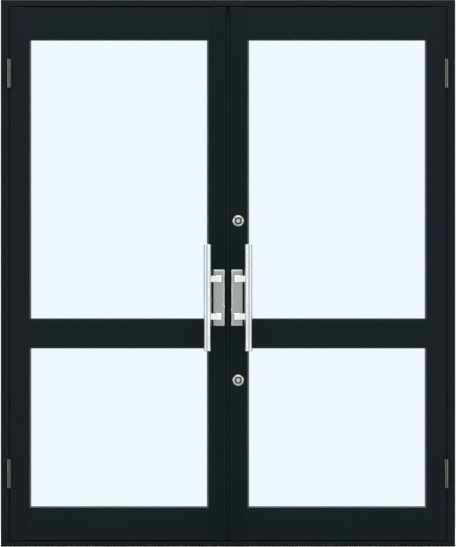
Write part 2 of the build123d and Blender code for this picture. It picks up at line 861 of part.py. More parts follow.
def handle_arms(side):
    # Each arm stands on a base flange, bends once and meets the round bar
    with BuildPart() as piece:
        for out, face_y in handle_faces:
            base_y = face_y + out * plate_thickness
            bar_y = face_y + out * bar_standoff
            reach_y = bar_y + out * arm_reach_thickness / 2
            inner_y = bar_y - out * arm_reach_thickness / 2
            near_x = arm_x - arm_thickness / 2
            far_x = arm_x + arm_thickness / 2
            for z in arm_heights:
                with BuildSketch(Plane.XY.offset(z - arm_height / 2)) as bend:
                    with BuildLine():
                        Polyline(
                            (side * near_x, base_y),
                            (side * near_x, reach_y),
                            (side * bar_x, reach_y),
                            (side * bar_x, inner_y),
                            (side * far_x, inner_y),
                            (side * far_x, base_y),
                            close=True,
                        )
                    make_face()
                    outer_corner = Vector(side * near_x, reach_y)
                    inner_corner = Vector(side * far_x, inner_y)
                    for corner in (outer_corner, inner_corner):
                        fillet(bend.vertices().sort_by_distance(corner)[0], arm_bend_radius)
                extrude(amount=arm_height)
                with BuildSketch(front_view(base_y)):
                    with Locations((side * arm_x, z)):
                        Rectangle(arm_base_width, arm_base_height)
                extrude(amount=-out * arm_base_thickness)
            # The ends of the arms are shaped to the bar
            with BuildSketch(Plane.XY.offset(handle_z - handle_length / 2)):
                with Locations((side * bar_x, bar_y)):
                    Circle(bar_radius)
            extrude(amount=handle_length, mode=Mode.SUBTRACT)
            with BuildSketch(front_view(base_y)):
                with Locations(*[(side * arm_x, z) for z in arm_heights]):
                    Circle(stud_radius + screw_fit if out > 0 else stud_radius)
            if out > 0:
                extrude(amount=-out * (stud_bite + stud_clearance), mode=Mode.SUBTRACT)
            else:
                extrude(amount=-(leaf_depth + 2 * plate_thickness + stud_bite))
    return piece


def handle_bars(side):
    with BuildPart() as piece:
        for out, face_y in handle_faces:
            bar_y = face_y + out * bar_standoff
            low = handle_z - handle_length / 2
            with BuildSketch(Plane.XY.offset(low)):
                with Locations((side * bar_x, bar_y)):
                    Circle(bar_radius)
            extrude(amount=handle_length)
        rims = piece.edges().filter_by(GeomType.CIRCLE)
        fillet(rims, bar_edge_radius)
        for out, face_y in handle_faces:
            bar_y = face_y + out * bar_standoff
            with BuildSketch(Plane.XY.offset(handle_z - handle_length / 2 + bar_end_thickness)):
                with Locations((side * bar_x, bar_y)):
                    Circle(bar_radius - bar_wall)
            extrude(amount=handle_length - 2 * bar_end_thickness, mode=Mode.SUBTRACT)
    return piece


# Locks
case_depth = 2 * case_wall + bolt_clearance + bolt_thickness + cam_thickness + 2 * cam_gap
case_front_y = front_y + case_centre_depth - case_depth / 2
case_back_y = case_front_y + case_depth
case_start_x = leaf_inner_x + face_plate_thickness
bolt_y = case_front_y + case_wall + bolt_clearance + bolt_thickness / 2
cam_front_y = bolt_y + bolt_thickness / 2 + cam_gap
spindle_end_y = cam_front_y + cam_thickness + cam_gap
bolt_start_x = leaf_inner_x + bolt_rest_setback
bolt_end_x = case_start_x + case_length - case_wall - bolt_tail_clearance
bolt_slot_half = tail_width / 2 + bolt_tail_clearance


def lock_cases():
    with BuildPart() as piece:
        for _, z in lock_places:
            case_middle = (case_start_x + case_length / 2, z)
            with BuildSketch(front_view(case_front_y)):
                with Locations(case_middle):
                    Rectangle(case_length, case_height)
            extrude(amount=-case_depth)
            with BuildSketch(front_view(case_front_y + case_wall)):
                with Locations(case_middle):
                    Rectangle(case_length - 2 * case_wall, case_height - 2 * case_wall)
            extrude(amount=-(case_depth - 2 * case_wall), mode=Mode.SUBTRACT)
            with BuildSketch(Plane.YZ.offset(leaf_inner_x)):
                with Locations((front_y + case_centre_depth, z)):
                    Rectangle(face_plate_width, face_plate_height)
            extrude(amount=face_plate_thickness)
            with BuildSketch(Plane.YZ.offset(leaf_inner_x)):
                with Locations((bolt_y, z)):
                    Rectangle(bolt_thickness + 2 * bolt_clearance, bolt_height + 2 * bolt_clearance)
            extrude(amount=face_plate_thickness + case_wall, mode=Mode.SUBTRACT)
            with BuildSketch(front_view(case_front_y)):
                with Locations((lock_x, z)):
                    Circle(plug_radius + cylinder_clearance)
            extrude(amount=-case_depth, mode=Mode.SUBTRACT)
    return piece


def lock_cylinders():
    # Outside a bevelled ring and the cylinder body; inside the rose that carries the thumb turn
    ring = [
        (plug_radius + running_fit, 0),
        (ring_radius, 0),
        (ring_radius, ring_edge_height),
        (ring_radius - ring_bevel_width, ring_height),
        (ring_throat_radius, cylinder_face_height),
        (plug_radius + running_fit, cylinder_face_height),
    ]
    rose = [
        (turn_spindle_radius + running_fit, 0),
        (rose_radius, 0),
        (rose_radius, rose_height - rose_bevel),
        (rose_radius - rose_bevel, rose_height),
        (turn_spindle_radius + running_fit, rose_height),
    ]
    with BuildPart() as piece:
        for _, z in lock_places:
            outside = Plane(origin=(lock_x, front_y, z), x_dir=(1, 0, 0), z_dir=(0, 0, -1))
            with BuildSketch(outside):
                with BuildLine():
                    Polyline(*ring, close=True)
                make_face()
            revolve(axis=Axis((lock_x, front_y, z), (0, 1, 0)))
            with BuildSketch(front_view(front_y)):
                with Locations((lock_x, z)):
                    Circle(cylinder_radius)
                    Circle(plug_radius + running_fit, mode=Mode.SUBTRACT)
            extrude(amount=-(case_front_y - front_y))
            inside = Plane(origin=(lock_x, leaf_back_y, z), x_dir=(1, 0, 0), z_dir=(0, 0, 1))
            with BuildSketch(inside):
                with BuildLine():
                    Polyline(*rose, close=True)
                make_face()
            revolve(axis=Axis((lock_x, leaf_back_y, z), (0, 1, 0)))
            with BuildSketch(front_view(leaf_back_y)):
                with Locations((lock_x, z)):
                    Circle(rose_neck_radius)
                    Circle(turn_spindle_radius + running_fit, mode=Mode.SUBTRACT)
            extrude(amount=leaf_back_y - case_back_y)
    return piece


def lock_plug(z):
    # Plug with keyway, tailpiece and cam
    face_y = front_y - cylinder_face_height - plug_proud
    tail_end_y = spindle_end_y + turn_slot_depth - tail_fit
    with BuildPart() as piece:
        with BuildSketch(front_view(face_y)):
            with Locations((lock_x, z)):
                Circle(plug_radius)
        extrude(amount=-(case_front_y + case_wall - face_y))
        with BuildSketch(front_view(face_y)):
            with Locations((lock_x, z)):
                SlotOverall(keyway_height, keyway_width, rotation=90)
        extrude(amount=-keyway_depth, mode=Mode.SUBTRACT)
        with BuildSketch(front_view(case_front_y + case_wall)):
            with Locations((lock_x, z)):
                Rectangle(tail_thickness, tail_width)
        extrude(amount=-(tail_end_y - case_front_y - case_wall))
        with BuildSketch(front_view(cam_front_y)):
            with Locations((lock_x, z)):
                Circle(cam_hub_radius)
            with Locations((lock_x, z - cam_radius / 2)):
                Rectangle(cam_hub_radius, cam_radius)
        extrude(amount=-cam_thickness)
    return piece


def thumb_turn(z):
    # Spindle with a slot for the tailpiece, and a flat grip with rounded ends
    grip_y = leaf_back_y + rose_height + turn_gap
    with BuildPart() as piece:
        with BuildSketch(front_view(spindle_end_y)):
            with Locations((lock_x, z)):
                Circle(turn_spindle_radius)
                Rectangle(
                    tail_thickness + 2 * tail_fit,
                    tail_width + 2 * tail_fit,
                    mode=Mode.SUBTRACT,
                )
        extrude(amount=-turn_slot_depth)
        with BuildSketch(front_view(spindle_end_y + turn_slot_depth)):
            with Locations((lock_x, z)):
                Circle(turn_spindle_radius)
        extrude(amount=-(grip_y - spindle_end_y - turn_slot_depth))
        with BuildSketch(front_view(grip_y)):
            with Locations((lock_x, z)):
                SlotOverall(turn_length, turn_width, rotation=90)
        extrude(amount=-turn_height)
    return piece


def lock_bolt(z):
    # A square head and two prongs that pass above and below the tailpiece
    slot_start = lock_x - bolt_throw - bolt_slot_half
    with BuildPart() as piece:
        with BuildSketch(front_view(bolt_y - bolt_thickness / 2)):
            with Locations(((bolt_start_x + bolt_end_x) / 2, z)):
                Rectangle(bolt_end_x - bolt_start_x, bolt_height)
            with Locations(((slot_start + bolt_end_x) / 2, z)):
                Rectangle(bolt_end_x - slot_start, 2 * bolt_slot_half, mode=Mode.SUBTRACT)
        extrude(amount=-bolt_thickness)
    return piece


def strike_plates():
    with BuildPart() as piece:
        with BuildSketch(Plane.YZ.offset(-leaf_inner_x)):
            for _, z in lock_places:
                with Locations((front_y + case_centre_depth, z)):
                    Rectangle(strike_width, strike_height)
                with Locations((bolt_y, z)):
                    Rectangle(
                        bolt_thickness + 2 * strike_clearance,
                        bolt_height + 2 * strike_clearance,
                        mode=Mode.SUBTRACT,
                    )
        extrude(amount=-strike_thickness)
    return piece


# Surface bolts: the upper one moves up into the head, the lower one down into the sill
rod_y = leaf_back_y + rod_standoff
keeper_zs = {1: soffit_z, -1: sill_stop_z}


def rod_tip(up):
    return keeper_zs[up] - up * (keeper_thickness + rod_end_clearance)


def surface_rod(up):
    tip = rod_tip(up)
    knob_z = tip - up * (housing_end_gap + guide_length + rod_travel + knob_radius + housing_end_gap)
    with BuildPart() as piece:
        with BuildSketch(Plane.XY.offset(tip)):
            with Locations((-surface_bolt_x, rod_y)):
                Circle(rod_radius)
        extrude(amount=-up * rod_length)
        tip_edge = piece.edges().filter_by(GeomType.CIRCLE).sort_by(Axis.Z)[-1 if up > 0 else 0]
        chamfer(tip_edge, length=rod_chamfer)
        with BuildSketch(front_view(rod_y)):
            with Locations((-surface_bolt_x, knob_z)):
                Circle(knob_radius)
        extrude(amount=-(knob_height + rod_radius))
    return piece


def surface_bolt_housings():
    with BuildPart() as piece:
        for up in (-1, 1):
            end_z = rod_tip(up) - up * housing_end_gap
            middle_z = end_z - up * housing_length / 2
            guide_depth = rod_standoff + guide_depth_beyond_rod
            with BuildSketch(front_view(leaf_back_y)):
                with Locations((-surface_bolt_x, middle_z)):
                    RectangleRounded(housing_width, housing_length, housing_corner_radius)
            extrude(amount=-housing_plate_thickness)
            guides = (end_z - up * guide_length / 2, end_z - up * (housing_length - guide_length / 2))
            with BuildSketch(Plane.YZ.offset(-surface_bolt_x)):
                with Locations(*[(leaf_back_y + guide_depth / 2, z) for z in guides]):
                    RectangleRounded(guide_depth, guide_length, housing_corner_radius)
            extrude(amount=guide_width / 2, both=True)
            with BuildSketch(Plane.XY.offset(end_z)):
                with Locations((-surface_bolt_x, rod_y)):
                    Circle(rod_radius + running_fit)
            extrude(amount=-up * housing_length, mode=Mode.SUBTRACT)
    return piece


def bolt_keepers():
    with BuildPart() as piece:
        for up in (-1, 1):
            with BuildSketch(Plane.XY.offset(keeper_zs[up])):
                with Locations((-surface_bolt_x, rod_y)):
                    Rectangle(keeper_length, keeper_width)
                    Circle(rod_radius + rod_hole_clearance, mode=Mode.SUBTRACT)
            extrude(amount=-up * keeper_thickness)
    return piece


# Door closers: a parallelogram of leaf, main arm, forearm and head
closer_top_z = soffit_z - closer_top_below_soffit
spindle_x = hinge_x - closer_spindle_x
spindle_y = leaf_back_y + closer_spindle_y
bracket_x = hinge_x - bracket_reach_x
bracket_y = (stop_front_y + back_y) / 2
elbow_x = spindle_x + bracket_x - hinge_x
elbow_y = spindle_y + bracket_y - hinge_y
main_arm_z = closer_top_z + boss_height + arm_gap
forearm_z = main_arm_z + arm_plate_thickness + arm_gap
bracket_pin_z = forearm_z


def closer_body(side):
    middle_x = side * (spindle_x - closer_offset)
    middle_z = closer_top_z - closer_height / 2
    with BuildPart() as piece:
        with BuildSketch(front_view(leaf_back_y)):
            with Locations((middle_x, middle_z)):
                RectangleRounded(closer_length, closer_height, closer_edge_radius)
        extrude(amount=-closer_depth)
        back_rim = piece.faces().sort_by(Axis.Y)[-1].edges()
        fillet(back_rim, closer_rim_radius)
        with BuildSketch(Plane.XY.offset(closer_top_z)):
            with Locations((side * spindle_x, spindle_y)):
                Circle(boss_radius)
        extrude(amount=boss_height)
        with BuildSketch(Plane.XY.offset(closer_top_z + boss_height)):
            with Locations((side * spindle_x, spindle_y)):
                Circle(closer_spindle_radius + running_fit)
        extrude(amount=-(closer_spindle_length + arm_gap), mode=Mode.SUBTRACT)
        # Two speed valves in the end nearest the hinge
        with BuildSketch(Plane.YZ.offset(middle_x + side * closer_length / 2)):
            with Locations((leaf_back_y + closer_depth / 2, middle_z)):
                with GridLocations(0, closer_valve_spacing, 1, 2):
                    Circle(closer_valve_radius)
        extrude(amount=-side * closer_valve_depth, mode=Mode.SUBTRACT)
    return piece


def closer_arm(side):
    # Flat tapered arm with the spindle below one end and a hole for the elbow pin at the other
    with BuildPart() as piece:
        with BuildSketch(Plane.XY.offset(main_arm_z)):
            with Locations((side * spindle_x, spindle_y)):
                Circle(arm_hub_radius)
            with Locations((side * elbow_x, elbow_y)):
                Circle(arm_elbow_radius)
            make_hull()
            with Locations((side * elbow_x, elbow_y)):
                Circle(elbow_pin_radius + running_fit, mode=Mode.SUBTRACT)
        extrude(amount=arm_plate_thickness)
        with BuildSketch(Plane.XY.offset(main_arm_z)):
            with Locations((side * spindle_x, spindle_y)):
                Circle(closer_spindle_radius)
        extrude(amount=-closer_spindle_length)
    return piece


def closer_forearm(side):
    # Flat arm with the elbow pin below one end and an eye for the bracket pin at the other
    with BuildPart() as piece:
        with BuildSketch(Plane.XY.offset(forearm_z)):
            with Locations((side * elbow_x, elbow_y), (side * bracket_x, bracket_y)):
                Circle(arm_elbow_radius)
            make_hull()
            with Locations((side * bracket_x, bracket_y)):
                Circle(bracket_pin_radius + bracket_pin_clearance, mode=Mode.SUBTRACT)
        extrude(amount=arm_plate_thickness)
        with BuildSketch(Plane.XY.offset(forearm_z)):
            with Locations((side * elbow_x, elbow_y)):
                Circle(elbow_pin_radius)
        extrude(amount=-(arm_gap + arm_plate_thickness + elbow_cap_height))
    return piece


def closer_brackets():
    boss_bottom = forearm_z + arm_plate_thickness + bracket_gap
    with BuildPart() as piece:
        for side, _ in side_names:
            with BuildSketch(Plane.XY.offset(soffit_z)):
                with Locations((side * bracket_x, bracket_y)):
                    RectangleRounded(bracket_plate_length, bracket_plate_width, bracket_corner_radius)
            extrude(amount=-bracket_plate_thickness)
            with BuildSketch(Plane.XY.offset(soffit_z)):
                with Locations((side * bracket_x, bracket_y)):
                    Circle(bracket_boss_radius)
            extrude(amount=boss_bottom - soffit_z)
            with BuildSketch(Plane.XY.offset(boss_bottom)):
                with Locations((side * bracket_x, bracket_y)):
                    Circle(bracket_pin_radius)
            extrude(amount=bracket_pin_z - boss_bottom)
    return piece


for side, side_name in side_names:
    finish(frame_hinge_halves(side), f"{side_name}_hinge_frame_halves")
    finish(leaf_hinge_halves(side), f"{side_name}_hinge_leaf_halves")
    finish(hinge_stile(side), f"{side_name}_hinge_stile")
    finish(meeting_stile(side), f"{side_name}_meeting_stile")
    for rail_name, low, high, edges in rail_tubes:
        finish(rail(side, low, high, edges), f"{side_name}_{rail_name}")
    finish(glass(side, lower_pane), f"{side_name}_lower_glass")
    finish(glass(side, upper_pane), f"{side_name}_upper_glass")
    finish(glazing_gaskets(side), f"{side_name}_glazing_gaskets")
    finish(glazing_beads(side), f"{side_name}_glazing_beads")
    finish(setting_blocks(side), f"{side_name}_setting_blocks")
    finish(meeting_seal(side), f"{side_name}_meeting_seal")
    finish(corner_cleats(side), f"{side_name}_corner_cleats")
    finish(handle_plates(side), f"{side_name}_handle_plates")
    finish(handle_arms(side), f"{side_name}_handle_arms")
    finish(handle_bars(side), f"{side_name}_handle_bars")
    finish(closer_body(side), f"{side_name}_closer_body")
    finish(closer_arm(side), f"{side_name}_closer_arm")
    finish(closer_forearm(side), f"{side_name}_closer_forearm")

finish(closer_brackets(), "closer_brackets")
finish(lock_cases(), "lock_cases")
finish(lock_cylinders(), "lock_cylinders")
for lock_name, z in lock_places:
    finish(lock_plug(z), f"{lock_name}_lock_plug")
    finish(thumb_turn(z), f"{lock_name}_thumb_turn")
    finish(lock_bolt(z), f"{lock_name}_lock_bolt")
finish(strike_plates(), "strike_plates")
finish(surface_rod(1), "top_bolt_rod")
finish(surface_rod(-1), "bottom_bolt_rod")
finish(surface_bolt_housings(), "surface_bolt_housings")
finish(bolt_keepers(), "bolt_keepers")
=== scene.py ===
import json
import math
import bmesh
import bpy
from mathutils import Matrix, Vector

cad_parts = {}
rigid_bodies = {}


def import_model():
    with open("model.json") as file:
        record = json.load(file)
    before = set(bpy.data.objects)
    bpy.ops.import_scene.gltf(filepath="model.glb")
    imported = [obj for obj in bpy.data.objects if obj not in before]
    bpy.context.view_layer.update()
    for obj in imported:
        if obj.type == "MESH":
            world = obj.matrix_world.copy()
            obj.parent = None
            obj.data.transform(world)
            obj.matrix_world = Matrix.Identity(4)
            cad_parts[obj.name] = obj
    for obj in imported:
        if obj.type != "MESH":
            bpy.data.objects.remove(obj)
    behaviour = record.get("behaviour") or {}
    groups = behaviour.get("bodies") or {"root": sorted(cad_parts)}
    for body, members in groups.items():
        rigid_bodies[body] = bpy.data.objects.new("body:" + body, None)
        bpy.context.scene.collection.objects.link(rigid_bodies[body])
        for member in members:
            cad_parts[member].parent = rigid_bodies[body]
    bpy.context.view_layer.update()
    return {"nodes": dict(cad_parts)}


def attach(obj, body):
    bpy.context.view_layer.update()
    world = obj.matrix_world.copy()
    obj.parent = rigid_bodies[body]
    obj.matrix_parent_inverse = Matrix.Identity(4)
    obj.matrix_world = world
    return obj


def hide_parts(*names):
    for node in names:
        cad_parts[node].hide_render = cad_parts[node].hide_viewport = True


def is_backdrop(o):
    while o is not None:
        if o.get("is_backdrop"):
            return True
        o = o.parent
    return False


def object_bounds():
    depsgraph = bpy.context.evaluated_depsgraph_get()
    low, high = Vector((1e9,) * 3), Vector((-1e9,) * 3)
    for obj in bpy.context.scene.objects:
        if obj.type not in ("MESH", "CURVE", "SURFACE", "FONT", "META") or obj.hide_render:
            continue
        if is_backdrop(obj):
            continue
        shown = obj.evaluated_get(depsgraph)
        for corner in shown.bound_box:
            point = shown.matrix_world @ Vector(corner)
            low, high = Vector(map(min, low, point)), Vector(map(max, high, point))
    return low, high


# Double glass shop door. Metres; X right as seen from the street, Y into the shop, Z up.
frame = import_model()
nodes = frame["nodes"]

SIDES = (("left", -1), ("right", 1))

# Places repeated from the CAD source, in metres
HALF_WIDTH = 0.845
FRONT_Y = -0.035
LEAF_BACK_Y = 0.005
LEAF_BOTTOM, LEAF_TOP = 0.024, 2.005
LEAF_INNER_X = 0.0045
NOSE_RADIUS = 0.009
MEETING_TUBE_X = 0.0565
HINGE_TUBE_X, LEAF_OUTER_X = 0.7535, 0.8115
HINGE_X, HINGE_Y = 0.81325, -0.0430
HINGE_HEIGHTS = (0.2709, 1.7596)
HINGE_LENGTH = 0.106
FRAME_FLAP_X, LEAF_FLAP_X = 0.8135, 0.8130
BAR_STANDOFF = 0.060
ARM_HEIGHTS = (0.8553, 0.9953)
LOCKS = (("lower", 0.6184), ("upper", 1.2112))
LOCK_X = 0.038
LOCK_CASE_Y = -0.0155
SOFFIT_Z, SILL_STOP_Z = 1.9945, 0.035
BOLT_X, BOLT_Y = -0.0305, 0.022
BOLT_ROD_KNOBS = (("top", 1.9385), ("bottom", 0.091))
BOLT_HOUSING_ENDS = ((1.9855, -1), (0.044, 1))
CLOSER_SPINDLE = (0.56325, 0.029)
CLOSER_ELBOW = (0.34825, 0.094)
CLOSER_BRACKET = (0.59825, 0.022)
CLOSER_MIDDLE_X, CLOSER_HALF_LENGTH = 0.53525, 0.118
CLOSER_LOW, CLOSER_HIGH, CLOSER_DEPTH = 1.9065, 1.9565, 0.046
ARM_TOP_Z, FOREARM_Z, FOREARM_TOP_Z = 1.9655, 1.9675, 1.9725
# The gasket strips along the middle rails, as a middle and a reach, and along the top rails, which
# get painted shade
MIDDLE_STRIPS_Z, MIDDLE_STRIPS_REACH = 0.7924, 0.0562
TOP_STRIPS_Z = 1.8805

# The colour sockets of a Mix node
MIX_FIRST, MIX_SECOND, MIX_RESULT = 6, 7, 2
# How close a rounded normal is to the true one on a flat face and on an edge
FLAT_MATCH, EDGE_MATCH = 0.99, 0.80


# Node materials

def new_material(name):
    made = bpy.data.materials.new(name)
    made.use_nodes = True
    tree = made.node_tree
    shader = tree.nodes["Principled BSDF"]
    return made, tree, shader


def node(tree, kind, inputs=(), **settings):
    made = tree.nodes.new(kind)
    for key, value in settings.items():
        setattr(made, key, value)
    for key, value in dict(inputs).items():
        if hasattr(value, "is_output"):
            tree.links.new(value, made.inputs[key])
        else:
            made.inputs[key].default_value = value
    return made


def own_place(tree):
    return node(tree, "ShaderNodeTexCoord").outputs["Object"]


def noise(tree, scale, detail=3.0, stretch=(1, 1, 1), roughness=0.5):
    """Noise in the piece's own coordinates, its grain drawn out along an axis by stretch."""
    inputs = {"Vector": own_place(tree), "Scale": stretch}
    mapped = node(tree, "ShaderNodeMapping", inputs).outputs[0]
    inputs = {"Vector": mapped, "Scale": scale, "Detail": detail, "Roughness": roughness}
    return node(tree, "ShaderNodeTexNoise", inputs).outputs["Fac"]


def spread(tree, value, low, high, start=0.3, end=0.7):
    """Maps the range start to end, which is a noise's middle range if not given, to low to high."""
    inputs = {"Value": value, "From Min": start, "From Max": end, "To Min": low, "To Max": high}
    return node(tree, "ShaderNodeMapRange", inputs).outputs[0]


def math_node(tree, operation, first, second, third=0.0):
    inputs = {0: first, 1: second, 2: third}
    return node(tree, "ShaderNodeMath", inputs, operation=operation).outputs[0]


def two_tones(tree, factor, first, second):
    made = node(tree, "ShaderNodeMix", {"Factor": factor}, data_type="RGBA")
    for index, colour in ((MIX_FIRST, first), (MIX_SECOND, second)):
        if hasattr(colour, "is_output"):
            tree.links.new(colour, made.inputs[index])
        else:
            made.inputs[index].default_value = (*colour, 1)
    return made.outputs[MIX_RESULT]


def scaled(colour, factor):
    return [min(1.0, c * factor) for c in colour]


def rounded_normal(tree, radius):
    """The normal of a softly broken edge, of that radius."""
    return node(tree, "ShaderNodeBevel", {"Radius": radius}, samples=6).outputs[0]


def bump(tree, height, distance, normal=None):
    inputs = {"Height": height, "Distance": distance}
    if normal:
        inputs["Normal"] = normal
    return node(tree, "ShaderNodeBump", inputs).outputs[0]


def edge_amount(tree, radius):
    """0 on flat faces, up to 1 on edges, from how far a rounded normal leaves the true one."""
    true = node(tree, "ShaderNodeNewGeometry").outputs["True Normal"]
    inputs = {0: rounded_normal(tree, radius), 1: true}
    match = node(tree, "ShaderNodeVectorMath", inputs, operation="DOT_PRODUCT").outputs["Value"]
    return spread(tree, match, 0.0, 1.0, FLAT_MATCH, EDGE_MATCH)


def coating(name, colour, along):
    """Satin dark coat on aluminium: faint drawn lines, dusty clouds, orange peel, and paler edges
    that are a painted highlight.
    """
    made, tree, shader = new_material(name)
    stretch = {"X": (0.02, 1, 1), "Z": (1, 1, 0.02)}[along]
    lines = spread(tree, noise(tree, 160, 2, stretch), 0, 1)
    clouds = spread(tree, noise(tree, 2.2, 4), 0, 1)
    specks = spread(tree, noise(tree, 700, 2), 0, 1, 0.62, 0.72)
    body = two_tones(tree, lines, scaled(colour, 0.84), scaled(colour, 1.16))
    body = two_tones(tree, clouds, body, [colour[0] * 0.92, colour[1] * 0.98, colour[2] * 1.06])
    body = two_tones(tree, specks, body, scaled(colour, 1.5))
    # Painted highlight: the edges are made paler, as if they caught the light
    body = two_tones(tree, edge_amount(tree, 0.0014), body, [c * 2.1 + 0.003 for c in colour])
    tree.links.new(body, shader.inputs["Base Color"])
    tree.links.new(spread(tree, noise(tree, 9, 4), 0.40, 0.52), shader.inputs["Roughness"])
    shader.inputs["Specular IOR Level"].default_value = 0.06
    peel = noise(tree, 1100, 2)
    tree.links.new(bump(tree, peel, 0.00003, rounded_normal(tree, 0.0006)), shader.inputs["Normal"])
    return made


def metal(name, colour, roughness, along=None, grain=0.10, lines=1400, peel=0.00002, edge=0.0005):
    """Metal with a grain along one axis, or a fine even texture, and faint finger marks."""
    made, tree, shader = new_material(name)
    stretch = {"X": (0.012, 1, 1), "Y": (1, 0.012, 1), "Z": (1, 1, 0.012), None: (1, 1, 1)}[along]
    strokes = noise(tree, lines, 3, stretch, 0.7)
    marks = spread(tree, noise(tree, 14, 4), 0, 1)
    tones = scaled(colour, 1 - grain), scaled(colour, 1 + grain)
    body = two_tones(tree, spread(tree, strokes, 0, 1), *tones)
    body = two_tones(tree, marks, body, scaled(colour, 0.94))
    tree.links.new(body, shader.inputs["Base Color"])
    drawn = spread(tree, strokes, roughness * 0.8, roughness * 1.2)
    smudged = spread(tree, noise(tree, 38, 3), 0, roughness * 0.22, 0.5, 0.68)
    tree.links.new(math_node(tree, "ADD", drawn, smudged), shader.inputs["Roughness"])
    shader.inputs["Metallic"].default_value = 1.0
    tree.links.new(bump(tree, strokes, peel, rounded_normal(tree, edge)), shader.inputs["Normal"])
    return made


def rubber_colours(tree, colour):
    bloom = spread(tree, noise(tree, 24, 4), 0, 1)
    specks = spread(tree, noise(tree, 900, 2), 0, 1)
    body = two_tones(tree, bloom, scaled(colour, 0.88), scaled(colour, 1.12))
    return two_tones(tree, specks, body, scaled(colour, 0.93))


def rubber(name, colour, painted_shade_colour=None):
    """Matt rubber with a faint bloom. A second, darker colour is painted shade on the strips at
    middle and top rails.
    """
    made, tree, shader = new_material(name)
    body = rubber_colours(tree, colour)
    # Painted shade: the strips at the middle and top rails take the darker colour, as if they lay
    # in shade
    if painted_shade_colour:
        height = node(tree, "ShaderNodeSeparateXYZ", {0: own_place(tree)}).outputs["Z"]
        at_middle = math_node(tree, "COMPARE", height, MIDDLE_STRIPS_Z, MIDDLE_STRIPS_REACH)
        at_top = math_node(tree, "GREATER_THAN", height, TOP_STRIPS_Z)
        dark = math_node(tree, "MAXIMUM", at_middle, at_top)
        body = two_tones(tree, dark, body, rubber_colours(tree, painted_shade_colour))
    tree.links.new(body, shader.inputs["Base Color"])
    tree.links.new(spread(tree, noise(tree, 60, 3), 0.57, 0.75), shader.inputs["Roughness"])
    shader.inputs["Specular IOR Level"].default_value = 0.15
    tree.links.new(bump(tree, noise(tree, 1500, 2), 0.00004), shader.inputs["Normal"])
    return made


def moulded(name, colour):
    """Moulded plastic with a fine spark texture."""
    made, tree, shader = new_material(name)
    specks = spread(tree, noise(tree, 1300, 2), 0, 1)
    body = two_tones(tree, specks, scaled(colour, 0.85), scaled(colour, 1.2))
    tree.links.new(body, shader.inputs["Base Color"])
    tree.links.new(spread(tree, noise(tree, 400, 3), 0.42, 0.58), shader.inputs["Roughness"])
    shader.inputs["Specular IOR Level"].default_value = 0.25
    grain = noise(tree, 1800, 2)
    rounded = rounded_normal(tree, 0.0004)
    tree.links.new(bump(tree, grain, 0.00005, rounded), shader.inputs["Normal"])
    return made


def painted_casting(name, colour):
    """Silver painted casting: metal flake in a satin coat, edges a little brighter as a painted
    highlight.
    """
    made, tree, shader = new_material(name)
    flakes = spread(tree, noise(tree, 2600, 1), 0, 1, 0.42, 0.6)
    clouds = spread(tree, noise(tree, 12, 3), 0, 1)
    body = two_tones(tree, flakes, scaled(colour, 0.90), scaled(colour, 1.12))
    body = two_tones(tree, clouds, body, scaled(colour, 0.95))
    # Painted highlight: brighter along the edges
    body = two_tones(tree, edge_amount(tree, 0.0012), body, scaled(colour, 1.2))
    tree.links.new(body, shader.inputs["Base Color"])
    tree.links.new(spread(tree, noise(tree, 50, 3), 0.34, 0.46), shader.inputs["Roughness"])
    shader.inputs["Metallic"].default_value = 0.75
    peel = noise(tree, 900, 3)
    tree.links.new(bump(tree, peel, 0.00005, rounded_normal(tree, 0.0008)), shader.inputs["Normal"])
    return made


def pane_glass(name, tint):
    """Clear glass with a faint blue cast and a slight wave. Lamps shine through it."""
    made, tree, shader = new_material(name)
    cast = spread(tree, noise(tree, 1.5, 2), 0, 1)
    tree.links.new(two_tones(tree, cast, tint, scaled(tint, 1.004)), shader.inputs["Base Color"])
    shader.inputs["Transmission Weight"].default_value = 1.0
    shader.inputs["Roughness"].default_value = 0.0
    shader.inputs["IOR"].default_value = 1.5
    wave = noise(tree, 3.5, 1, (0.35, 1, 1))
    tree.links.new(bump(tree, wave, 0.0006), shader.inputs["Normal"])
    shadow = node(tree, "ShaderNodeLightPath").outputs["Is Shadow Ray"]
    clear = node(tree, "ShaderNodeBsdfTransparent", {"Color": (0.90, 0.93, 0.95, 1)}).outputs[0]
    mix = node(tree, "ShaderNodeMixShader", {0: shadow, 1: shader.outputs[0], 2: clear})
    tree.links.new(mix.outputs[0], tree.nodes["Material Output"].inputs["Surface"])
    return made


# Copies of one dark coat, each a little lighter or darker for its parts: painted light and shade
# for how each part is lit
JAMB_COAT = coating("jamb_coat", (0.0058, 0.0088, 0.0102), "Z")
BAR_COAT = coating("head_and_sill_coat", (0.0064, 0.0106, 0.0122), "X")
STILE_COAT = coating("stile_coat", (0.0055, 0.0086, 0.0112), "Z")
MEETING_COAT = coating("meeting_stile_coat", (0.0040, 0.0080, 0.0092), "Z")
RAIL_COAT = coating("rail_coat", (0.0056, 0.0096, 0.0112), "X")
HINGE_METAL = metal("hinge_metal", (0.048, 0.0465, 0.041), 0.30, "Z", 0.12)
